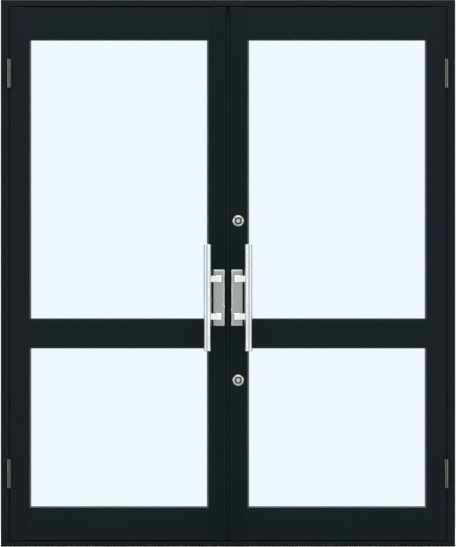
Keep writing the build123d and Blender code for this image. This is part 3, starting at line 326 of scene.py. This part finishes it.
# Its second colour is painted shade on the gasket strips at the middle and top rails
GLAZING_RUBBER = rubber("glazing_rubber", (0.082, 0.090, 0.090), (0.016, 0.019, 0.019))
SEAL_RUBBER = rubber("seal_rubber", (0.040, 0.058, 0.058))
BLACK_RUBBER = rubber("black_rubber", (0.008, 0.009, 0.009))
BLACK_PLASTIC = moulded("black_plastic", (0.012, 0.013, 0.014))
CLEAR_GLASS = pane_glass("clear_glass", (0.86, 0.924, 0.985))
ZINC = metal("zinc_steel", (0.42, 0.44, 0.45), 0.35, None, 0.12, 300)
MILL_ALUMINIUM = metal("mill_aluminium", (0.55, 0.56, 0.57), 0.38, "X", 0.08)
SATIN_BAR = metal("satin_bar", (0.57, 0.60, 0.61), 0.18, "Z", 0.03, 900, 0.000005)
SATIN_STEEL = metal("satin_steel", (0.50, 0.52, 0.52), 0.30, "Z", 0.08)
SATIN_PLATE = metal("satin_plate", (0.375, 0.40, 0.385), 0.27, "Z", 0.06, 1100, 0.00001, 0.0008)
BRIGHT_STEEL = metal("bright_steel", (0.86, 0.89, 0.87), 0.16, None, 0.03, 600, 0.00001, 0.0012)
SATIN_NICKEL = metal("satin_nickel", (0.40, 0.405, 0.40), 0.24, None, 0.16, 500)
PLUG_METAL = metal("plug_metal", (0.56, 0.56, 0.545), 0.20, None, 0.10, 700)
BRASS = metal("brass", (0.50, 0.38, 0.16), 0.30, None, 0.12, 500)
SILVER = painted_casting("silver_casting", (0.46, 0.47, 0.48))

BY_SLOT = {
    "frame_coating": JAMB_COAT,
    "leaf_coating": STILE_COAT,
    "hinge_metal": HINGE_METAL,
    "grey_rubber": GLAZING_RUBBER,
    "black_rubber": BLACK_RUBBER,
    "black_plastic": BLACK_PLASTIC,
    "clear_glass": CLEAR_GLASS,
    "zinc_steel": ZINC,
    "mill_aluminium": MILL_ALUMINIUM,
    "satin_steel": SATIN_STEEL,
    "satin_plate": SATIN_PLATE,
    "polished_steel": BRIGHT_STEEL,
    "satin_nickel": SATIN_NICKEL,
    "silver_casting": SILVER,
}
# The head, sill, meeting stiles and rails take the lighter or darker copies of the coat, which are
# painted light and shade
BY_NAME = {
    "frame_head": BAR_COAT,
    "frame_sill": BAR_COAT,
    "meeting_stile": MEETING_COAT,
    "_rail": RAIL_COAT,
    "meeting_seal": SEAL_RUBBER,
    "handle_bars": SATIN_BAR,
    "lock_plug": PLUG_METAL,
}
for name, piece in nodes.items():
    for slot in piece.material_slots:
        chosen = [material for part, material in BY_NAME.items() if part in name]
        slot.material = chosen[0] if chosen else BY_SLOT[slot.material.name.split(".")[0]]


# Mesh builders: each adds to one bmesh, so that like details form one piece
BEVEL_ANGLE, SHARP_ANGLE = 40, 35


def facing(direction, place):
    turn = Vector(direction).to_track_quat("Z", "Y").to_matrix().to_4x4()
    return Matrix.Translation(place) @ turn


def ring_of(bm, matrix, radius, height, count, ribs=0.0):
    """A ring of points; with ribs, every other pair of points lies that much further in."""
    made = []
    for i in range(count):
        angle = 2 * math.pi * i / count
        reach = radius - (ribs if i % 4 > 1 else 0.0)
        point = Vector((reach * math.cos(angle), reach * math.sin(angle), height))
        made.append(bm.verts.new(matrix @ point))
    return made


def join_rings(bm, first, second):
    count = len(first)
    for i in range(count):
        j = (i + 1) % count
        bm.faces.new((first[i], first[j], second[j], second[i]))


def turned(bm, place, direction, profile, count=32, hollow=False, ribs=0.0):
    """Turns a profile of (radius, height) about direction; a hollow one closes on itself."""
    matrix = facing(direction, place)
    rings = [ring_of(bm, matrix, radius, height, count, ribs) for radius, height in profile]
    for first, second in zip(rings, rings[1:]):
        join_rings(bm, first, second)
    if hollow:
        join_rings(bm, rings[-1], rings[0])
    else:
        bm.faces.new(reversed(rings[0]))
        bm.faces.new(rings[-1])


def cross_outline(long, wide):
    return [
        (long, -wide), (long, wide), (wide, wide), (wide, long), (-wide, long), (-wide, wide),
        (-long, wide), (-long, -wide), (-wide, -wide), (-wide, -long), (wide, -long), (wide, -wide),
    ]


def screw_head(bm, place, direction, radius, height, flat=False, slotted=False):
    """A head with a cross or a straight slot: domed, or flat for one that is sunk flush."""
    matrix = facing(direction, place)
    if flat:
        profile = ((radius, -height), (radius, -0.15 * height), (radius * 0.93, 0))
    else:
        profile = (
            (radius, 0), (radius, 0.35 * height), (radius * 0.93, 0.68 * height),
            (radius * 0.78, 0.9 * height), (radius * 0.6, height),
        )
    top = profile[-1][1]
    count = 24
    rings = [ring_of(bm, matrix, r, h, count) for r, h in profile]
    for first, second in zip(rings, rings[1:]):
        join_rings(bm, first, second)
    bm.faces.new(reversed(rings[0]))
    if slotted:
        long, wide = radius * 0.52, radius * 0.12
        outline = [(long, -wide), (long, wide), (-long, wide), (-long, -wide)]
    else:
        outline = cross_outline(radius * 0.42, radius * 0.10)
    upper = [bm.verts.new(matrix @ Vector((x, y, top))) for x, y in outline]
    bottom = top - 0.55 * height
    lower = [bm.verts.new(matrix @ Vector((x * 0.8, y * 0.8, bottom))) for x, y in outline]
    rim = [bm.edges.get((rings[-1][i], rings[-1][(i + 1) % count])) for i in range(count)]
    sides = len(outline)
    slots = [bm.edges.new((upper[i], upper[(i + 1) % sides])) for i in range(sides)]
    bmesh.ops.triangle_fill(bm, edges=rim + slots, use_beauty=True)
    join_rings(bm, upper, lower)
    bm.faces.new(lower)


def prism(bm, outline, low, high):
    """An outline of (x, y) points raised from low to high."""
    bottom = [bm.verts.new((x, y, low)) for x, y in outline]
    top = [bm.verts.new((x, y, high)) for x, y in outline]
    join_rings(bm, bottom, top)
    bm.faces.new(reversed(bottom))
    bm.faces.new(top)


def arc(centre, radius, start, end, steps):
    """Points on an arc between two angles in degrees."""
    angles = [math.radians(start + (end - start) * i / steps) for i in range(steps + 1)]
    return [(centre[0] + radius * math.cos(a), centre[1] + radius * math.sin(a)) for a in angles]


def piece_from(bm, name, material, body, bevel=0.0):
    bmesh.ops.recalc_face_normals(bm, faces=bm.faces)
    mesh = bpy.data.meshes.new(name)
    bm.to_mesh(mesh)
    bm.free()
    mesh.materials.append(material)
    piece = bpy.data.objects.new(name, mesh)
    bpy.context.scene.collection.objects.link(piece)
    for polygon in mesh.polygons:
        polygon.use_smooth = True
    if bevel:
        rounding = piece.modifiers.new("rounded_edges", "BEVEL")
        rounding.width = bevel
        rounding.segments = 2
        rounding.limit_method = "ANGLE"
        rounding.angle_limit = math.radians(BEVEL_ANGLE)
        rounding.harden_normals = True
    mesh.set_sharp_from_angle(angle=math.radians(SHARP_ANGLE))
    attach(piece, body)
    return piece


# Heads of screws, as (radius, height)
FLAP_SCREW = (0.0036, 0.0008)
PLATE_SCREW = (0.0036, 0.0006)
HOUSING_SCREW = (0.0025, 0.0014)
KEEPER_SCREW = (0.0033, 0.0006)
VALVE_SCREW = (0.0026, 0.0014)
BRACKET_SCREW = (0.0042, 0.0022)

# Profiles of turned details, as (radius, height)
KNUCKLE_CAP = (
    (0.0073, -0.0004), (0.0073, 0.0004), (0.0066, 0.0010), (0.0046, 0.0014), (0.0022, 0.0016),
)
GRUB_SCREW = (
    (0.0026, -0.001), (0.0026, 0.0002), (0.0022, 0.0004), (0.0014, 0.0004), (0.0013, -0.0008),
)
# A dark ring that stands in for the shade in the recess round a lock's plug
SHADE_RING = (
    (0.0079, 0.0014), (0.0079, 0.0021), (0.0086, 0.0026),
    (0.0106, 0.0026), (0.0112, 0.0021), (0.0112, 0.0014),
)
HOLE_PLUG = ((0.0058, -0.0018), (0.0058, -0.0006), (0.0052, -0.0002), (0.0030, -0.0001))
KNOB_GRIP = (
    (0.0051, 0.0), (0.0062, 0.0008), (0.0066, 0.0016), (0.0066, 0.0074),
    (0.0062, 0.0082), (0.0050, 0.0088), (0.0030, 0.0091),
)
SPINDLE_CAP = (
    (0.0125, -0.0005), (0.0125, 0.0008), (0.0116, 0.0020), (0.0090, 0.0028), (0.0050, 0.0031),
)
SPINDLE_NUT = ((0.0068, -0.0003), (0.0068, 0.0007), (0.0060, 0.0013), (0.0034, 0.0014))
ELBOW_RIVET = (
    (0.0066, -0.0004), (0.0066, 0.0006), (0.0058, 0.0018), (0.0038, 0.0026), (0.0018, 0.0028),
)
ELBOW_CLIP = ((0.0041, 0.0), (0.0041, 0.0010), (0.0064, 0.0010), (0.0064, 0.0))
BRACKET_PIN_END = (
    (0.0049, -0.0005), (0.0074, 0.0001), (0.0074, 0.0008), (0.0062, 0.0014), (0.0030, 0.0015),
)

# Outlines of the bulb seal, as (x, y)
BULB = (
    (0.0039, -0.0032), (0.0024, -0.0036), (0.0009, -0.0030), (0.0, -0.0021),
    (0.0, 0.0001), (0.0009, 0.0010), (0.0024, 0.0016), (0.0039, 0.0012),
)
BULB_ROOT = (
    (0.0039, 0.0024), (0.0045, 0.0024), (0.0045, 0.0009), (0.0094, 0.0009),
    (0.0094, -0.0029), (0.0045, -0.0029), (0.0045, -0.0044), (0.0039, -0.0044),
)


# Hinges: domed caps on the knuckles and flush screws in the flaps
FLAP_SCREW_OFFSETS = ((0.0115, -0.041), (0.0235, -0.014), (0.0115, 0.014), (0.0235, 0.041))
for side_name, side in SIDES:
    for part, body, flap_x, way in (
        ("frame", "frame", FRAME_FLAP_X, -1),
        ("leaf", f"{side_name}_leaf", LEAF_FLAP_X, 1),
    ):
        screws = bmesh.new()
        caps = bmesh.new()
        for z in HINGE_HEIGHTS:
            for dy, dz in FLAP_SCREW_OFFSETS:
                place = (side * flap_x, FRONT_Y + dy, z + dz)
                screw_head(screws, place, (side * way, 0, 0), *FLAP_SCREW, flat=True)
            cap_place = (side * HINGE_X, HINGE_Y, z + way * HINGE_LENGTH / 2)
            turned(caps, cap_place, (0, 0, way), KNUCKLE_CAP)
        piece_from(screws, f"{side_name}_hinge_{part}_screws", ZINC, body)
        piece_from(caps, f"{side_name}_hinge_{part}_caps", HINGE_METAL, body)


# Handles: grub screws under the arms
GRUB_X, GRUB_BELOW_ARM = 0.049, 0.011
for side_name, side in SIDES:
    grubs = bmesh.new()
    for out, face_y in ((-1, FRONT_Y), (1, LEAF_BACK_Y)):
        for z in ARM_HEIGHTS:
            place = (side * GRUB_X, face_y + out * BAR_STANDOFF, z - GRUB_BELOW_ARM)
            turned(grubs, place, (0, 0, -1), GRUB_SCREW, 18)
    piece_from(grubs, f"{side_name}_handle_grub_screws", ZINC, f"{side_name}_leaf")


# Locks: a dark ring in the recess round each plug that stands in for its shade, and the face and
# strike plates' screws
FACE_SCREW_SPACING, STRIKE_SCREW_SPACING = 0.132, 0.076
for lock_name, z in LOCKS:
    ring = bmesh.new()
    turned(ring, (LOCK_X, FRONT_Y, z), (0, -1, 0), SHADE_RING, 48, hollow=True)
    piece_from(ring, f"{lock_name}_lock_shade_ring", BLACK_PLASTIC, "right_leaf")
for name, body, side, spacing in (
    ("face_plate_screws", "right_leaf", 1, FACE_SCREW_SPACING),
    ("strike_plate_screws", "left_leaf", -1, STRIKE_SCREW_SPACING),
):
    screws = bmesh.new()
    for _, z in LOCKS:
        for end in (-1, 1):
            place = (side * LEAF_INNER_X, LOCK_CASE_Y, z + end * spacing / 2)
            screw_head(screws, place, (-side, 0, 0), *PLATE_SCREW, flat=True)
    piece_from(screws, name, ZINC, body)


# Seals: each bulb is pressed flat against the other leaf's along the middle of the gap
for side_name, side in SIDES:
    leaf = f"{side_name}_leaf"
    seal = bmesh.new()
    prism(seal, [(side * x, y) for x, y in BULB + BULB_ROOT], LEAF_BOTTOM, LEAF_TOP)
    piece = piece_from(seal, f"{side_name}_bulb_seal", SEAL_RUBBER, leaf)
    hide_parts(f"{side_name}_meeting_seal")


# Caps that close the ends of the stiles, and plugs in the holes for the corner screws
CAP_INSET, CAP_PROUD, CAP_SUNK, CAP_ROUNDING = 0.0003, 0.0009, 0.0002, 0.0003
PLUG_DEPTHS, PLUG_HEIGHTS = (-0.021, 0.0282), (0.0122, 2.0173)
cap_front, cap_back = FRONT_Y + CAP_INSET, LEAF_BACK_Y - CAP_INSET
cap_outer = LEAF_OUTER_X - CAP_INSET
nose_centre = (LEAF_INNER_X + NOSE_RADIUS, FRONT_Y + NOSE_RADIUS)
nose = arc(nose_centre, NOSE_RADIUS - CAP_INSET, 270, 180, 6)
meeting_cap = nose + [
    (LEAF_INNER_X + CAP_INSET, cap_back), (MEETING_TUBE_X, cap_back), (MEETING_TUBE_X, cap_front),
]
hinge_cap = [
    (HINGE_TUBE_X, cap_front), (HINGE_TUBE_X, cap_back),
    (cap_outer, cap_back), (cap_outer, cap_front),
]
cap_ends = (
    (LEAF_BOTTOM - CAP_PROUD, LEAF_BOTTOM + CAP_SUNK),
    (LEAF_TOP - CAP_SUNK, LEAF_TOP + CAP_PROUD),
)
for side_name, side in SIDES:
    leaf = f"{side_name}_leaf"
    caps = bmesh.new()
    for outline in (meeting_cap, hinge_cap):
        for low, high in cap_ends:
            prism(caps, [(side * x, y) for x, y in outline], low, high)
    cap_name = f"{side_name}_stile_end_caps"
    piece_from(caps, cap_name, BLACK_PLASTIC, leaf, CAP_ROUNDING)

    plugs = bmesh.new()
    for y in PLUG_DEPTHS:
        for z in PLUG_HEIGHTS:
            turned(plugs, (side * HALF_WIDTH, y, z), (side, 0, 0), HOLE_PLUG, 24)
    piece_from(plugs, f"{side_name}_jamb_hole_plugs", BLACK_PLASTIC, "frame")


# Surface bolts: fixing screws, knurled knobs and keeper screws
HOUSING_PLATE, KEEPER_PLATE = 0.003, 0.002
HOUSING_SCREWS_ALONG, HOUSING_SCREWS_ASIDE = (0.0305, 0.0990), 0.0094
KEEPER_SCREWS_ASIDE = 0.016
KNOB_Y, KNURL_DEPTH = 0.0365, 0.0004
screws = bmesh.new()
for end_z, inward in BOLT_HOUSING_ENDS:
    for along in HOUSING_SCREWS_ALONG:
        for dx in (-HOUSING_SCREWS_ASIDE, HOUSING_SCREWS_ASIDE):
            place = (BOLT_X + dx, LEAF_BACK_Y + HOUSING_PLATE, end_z + inward * along)
            screw_head(screws, place, (0, 1, 0), *HOUSING_SCREW)
piece_from(screws, "bolt_housing_screws", ZINC, "left_leaf")
for bolt, z in BOLT_ROD_KNOBS:
    knob = bmesh.new()
    turned(knob, (BOLT_X, KNOB_Y, z), (0, 1, 0), KNOB_GRIP, 64, ribs=KNURL_DEPTH)
    piece_from(knob, f"{bolt}_bolt_knob_grip", SATIN_STEEL, f"{bolt}_rod")
screws = bmesh.new()
for z, inward in ((SOFFIT_Z - KEEPER_PLATE, -1), (SILL_STOP_Z + KEEPER_PLATE, 1)):
    for dx in (-KEEPER_SCREWS_ASIDE, KEEPER_SCREWS_ASIDE):
        place = (BOLT_X + dx, BOLT_Y, z)
        screw_head(screws, place, (0, 0, inward), *KEEPER_SCREW, flat=True)
piece_from(screws, "keeper_screws", ZINC, "frame")


# Closers: end cover seams, valve screws, spindle caps and nuts, elbow rivets and bracket screws
BODY_ROUND, BODY_ROUND_MIDDLE = 0.0035, 0.001
SEAM_FROM_END, SEAM_HALF_WIDTH, SEAM_PROUD, SEAM_SUNK = 0.016, 0.0005, 0.00025, 0.0008
VALVE_SUNK, VALVE_ASIDE = 0.002, 0.0085
ELBOW_CLIP_Z = 1.9592
BRACKET_PLATE, BRACKET_SCREWS_ASIDE = 0.004, 0.024


def body_section(grow):
    """The open outline of a closer body, from one foot round the back to the other, as (y, z)."""
    low, high, back = CLOSER_LOW - grow, CLOSER_HIGH + grow, LEAF_BACK_Y + CLOSER_DEPTH + grow
    return [
        (LEAF_BACK_Y, low),
        (back - BODY_ROUND, low),
        (back - BODY_ROUND_MIDDLE, low + BODY_ROUND_MIDDLE),
        (back, low + BODY_ROUND),
        (back, high - BODY_ROUND),
        (back - BODY_ROUND_MIDDLE, high - BODY_ROUND_MIDDLE),
        (back - BODY_ROUND, high),
        (LEAF_BACK_Y, high),
    ]


for side_name, side in SIDES:
    leaf = f"{side_name}_leaf"
    seams = bmesh.new()
    for end in (-1, 1):
        x = side * (CLOSER_MIDDLE_X + end * (CLOSER_HALF_LENGTH - SEAM_FROM_END))
        outer, inner = body_section(SEAM_PROUD), body_section(-SEAM_SUNK)
        rings = []
        for section, way in ((outer, -1), (outer, 1), (inner, 1), (inner, -1)):
            dx = way * SEAM_HALF_WIDTH
            rings.append([seams.verts.new((x + dx, y, z)) for y, z in section])
        for first, second in zip(rings, rings[1:] + rings[:1]):
            for i in range(len(first) - 1):
                seams.faces.new((first[i], first[i + 1], second[i + 1], second[i]))
        for last in (0, -1):
            seams.faces.new([ring[last] for ring in rings])
    piece_from(seams, f"{side_name}_closer_seams", BLACK_PLASTIC, leaf)

    valves = bmesh.new()
    end_x = side * (CLOSER_MIDDLE_X + CLOSER_HALF_LENGTH - VALVE_SUNK)
    for dz in (-VALVE_ASIDE, VALVE_ASIDE):
        place = (end_x, LEAF_BACK_Y + CLOSER_DEPTH / 2, (CLOSER_LOW + CLOSER_HIGH) / 2 + dz)
        screw_head(valves, place, (side, 0, 0), *VALVE_SCREW, slotted=True)
    piece_from(valves, f"{side_name}_closer_valve_screws", BRASS, leaf)

    cap = bmesh.new()
    x, y = CLOSER_SPINDLE
    turned(cap, (side * x, y, CLOSER_LOW), (0, 0, -1), SPINDLE_CAP, 40)
    piece_from(cap, f"{side_name}_closer_spindle_cap", BLACK_PLASTIC, leaf)

    nut = bmesh.new()
    turned(nut, (side * x, y, ARM_TOP_Z), (0, 0, 1), SPINDLE_NUT, 6)
    main_arm = f"{side_name}_main_arm"
    piece_from(nut, f"{side_name}_closer_spindle_nut", ZINC, main_arm)

    rivet = bmesh.new()
    x, y = CLOSER_ELBOW
    turned(rivet, (side * x, y, FOREARM_TOP_Z), (0, 0, 1), ELBOW_RIVET, 28)
    turned(rivet, (side * x, y, ELBOW_CLIP_Z), (0, 0, 1), ELBOW_CLIP, 28, hollow=True)
    forearm = f"{side_name}_forearm"
    piece_from(rivet, f"{side_name}_closer_elbow_rivet", ZINC, forearm)

    fixings = bmesh.new()
    x, y = CLOSER_BRACKET
    for dx in (-BRACKET_SCREWS_ASIDE, BRACKET_SCREWS_ASIDE):
        place = (side * (x + dx), y, SOFFIT_Z - BRACKET_PLATE)
        screw_head(fixings, place, (0, 0, -1), *BRACKET_SCREW)
    turned(fixings, (side * x, y, FOREARM_Z), (0, 0, -1), BRACKET_PIN_END, 28)
    piece_from(fixings, f"{side_name}_closer_bracket_screws", ZINC, "frame")


# Floor, light and camera
DOOR_MIDDLE = (0, 0, 1.0)
LAMP_DISTANCE = 4.0
KEY_PLACE, KEY_SIZE = (0, -3.8, 5.0), (5.0, 3.0)
SOFT_LIGHT = 0.76
FLOOR_RADIUS, FLOOR_DROP = 90, 0.0003
FADE_START, FADE_END = 1.2, 4.0
# Handle plates and locks have their own, weaker key light, so that their bevels don't burn out
SOFTER_LIT = ("handle_plates", "lock_cylinders")

def light_only(lamp, name, words, others=False):
    """Limits a lamp to the objects whose names hold one of the words, or to all the others."""
    chosen = bpy.data.collections.new(name)
    for piece in bpy.context.scene.objects:
        if piece.type == "MESH" and others != any(word in piece.name for word in words):
            chosen.objects.link(piece)
    lamp.light_linking.receiver_collection = chosen


def light_all_but(lamp, name, words):
    light_only(lamp, name, words, others=True)


def add_area(name, place, power, width, height):
    """A rectangular lamp that shines at the middle of the door."""
    lamp = bpy.data.lights.new(name, "AREA")
    lamp.shape = "RECTANGLE"
    lamp.size, lamp.size_y = width, height
    lamp.energy = power
    holder = bpy.data.objects.new(name, lamp)
    bpy.context.scene.collection.objects.link(holder)
    holder.location = place
    aim = Vector(DOOR_MIDDLE) - Vector(place)
    holder.rotation_euler = aim.to_track_quat("-Z", "Y").to_euler()
    return holder


def around(azimuth, height):
    """A place at that azimuth from straight in front of the door, positive to the right."""
    angle = math.radians(azimuth)
    x, forward = LAMP_DISTANCE * math.sin(angle), LAMP_DISTANCE * math.cos(angle)
    return (x, FRONT_Y - forward, height)


def seen_directly(tree):
    """1 for camera rays, reflections and rays through glass; 0 for soft light and shadow."""
    path = node(tree, "ShaderNodeLightPath").outputs
    total = math_node(tree, "MAXIMUM", path["Is Camera Ray"], path["Is Glossy Ray"])
    return math_node(tree, "MAXIMUM", total, path["Is Transmission Ray"])


def make_floor():
    bm = bmesh.new()
    bmesh.ops.create_circle(bm, cap_ends=True, segments=96, radius=FLOOR_RADIUS)
    mesh = bpy.data.meshes.new("floor")
    bm.to_mesh(mesh)
    bm.free()
    floor = bpy.data.objects.new("floor", mesh)
    bpy.context.scene.collection.objects.link(floor)
    floor.location.z = -FLOOR_DROP
    material, tree, shader = new_material("pale_floor")
    grain = spread(tree, noise(tree, 6, 4), 0, 1)
    tones = two_tones(tree, grain, (0.80, 0.80, 0.80), (0.83, 0.83, 0.83))
    tree.links.new(tones, shader.inputs["Base Color"])
    shader.inputs["Roughness"].default_value = 0.8
    shader.inputs["Specular IOR Level"].default_value = 0.1
    white = node(tree, "ShaderNodeEmission", {"Color": (1, 1, 1, 1), "Strength": 1.0}).outputs[0]
    # Away from the door the floor turns into the white background
    away = node(tree, "ShaderNodeVectorMath", {0: own_place(tree)}, operation="LENGTH")
    inputs = {"Value": away.outputs["Value"], "To Min": 0.1, "To Max": 1.0}
    inputs.update({"From Min": FADE_START, "From Max": FADE_END})
    fade = node(tree, "ShaderNodeMapRange", inputs, interpolation_type="SMOOTHSTEP").outputs[0]
    factor = math_node(tree, "MULTIPLY", fade, seen_directly(tree))
    mix = node(tree, "ShaderNodeMixShader", {0: factor, 1: shader.outputs[0], 2: white})
    tree.links.new(mix.outputs[0], tree.nodes["Material Output"].inputs["Surface"])
    mesh.materials.append(material)
    floor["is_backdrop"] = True


def make_world():
    scene = bpy.context.scene
    scene.world = bpy.data.worlds.new("studio")
    scene.world.use_nodes = True
    tree = scene.world.node_tree
    inputs = {"Value": seen_directly(tree), "To Min": SOFT_LIGHT, "To Max": 1.0}
    strength = node(tree, "ShaderNodeMapRange", inputs).outputs[0]
    background = tree.nodes["Background"]
    background.inputs["Color"].default_value = (1, 1, 1, 1)
    tree.links.new(strength, background.inputs["Strength"])


def make_camera():
    """A long lens square to the front, with the photograph's frame at the door's front face."""
    pixel, distance, picture_height, sill_row = 0.0037180, 40.0, 547, 546.55
    data = bpy.data.cameras.new("camera")
    data.sensor_width = 36
    data.lens = data.sensor_width * distance / (picture_height * pixel)
    data.clip_start, data.clip_end = 0.5, 400
    camera = bpy.data.objects.new("camera", data)
    bpy.context.scene.collection.objects.link(camera)
    camera.location = (0, FRONT_Y - distance, (sill_row - picture_height / 2) * pixel)
    camera.rotation_euler = (math.radians(90), 0, 0)
    bpy.context.scene.camera = camera


make_floor()
make_world()
make_camera()
key = add_area("key_light", KEY_PLACE, 160, *KEY_SIZE)
light_all_but(key, "key_light_on", SOFTER_LIT)
key = add_area("bevel_key_light", KEY_PLACE, 65, *KEY_SIZE)
light_only(key, "bevel_key_light_on", SOFTER_LIT)
add_area("back_light", (1.2, 4.6, 4.2), 150, 3.0, 2.0)
for side_name, side in SIDES:
    other_name = "left" if side > 0 else "right"
    lamp = add_area(f"{side_name}_side_light", around(side * 55, 1.5), 10, 0.7, 2.6)
    light_all_but(lamp, f"{side_name}_side_light_on", (f"{side_name}_handle_plates",))
    # Narrow strips that draw the upright lines of light on the pull bars and the handle plates
    strip = add_area(f"{side_name}_bar_light", around(side * 33, 1.0), 7, 0.22, 2.2)
    light_only(strip, f"{side_name}_bar_light_on", (f"{other_name}_handle",))
    strip = add_area(f"{side_name}_plate_light", around(side * 76, 1.0), 110, 0.5, 2.2)
    light_only(strip, f"{side_name}_plate_light_on", (f"{other_name}_handle_plates",))
# And on the hinge barrels, one near the left edge and one right of the middle
for name, azimuth, power in (("left", -84, 150), ("right", 38, 130)):
    strip = add_area(f"{name}_hinge_light", around(azimuth, 1.2), power, 0.4, 2.6)
    light_only(strip, f"{name}_hinge_light_on", ("hinge_frame", "hinge_leaf"))
bpy.context.scene.view_settings.view_transform = "Standard"

low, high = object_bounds()
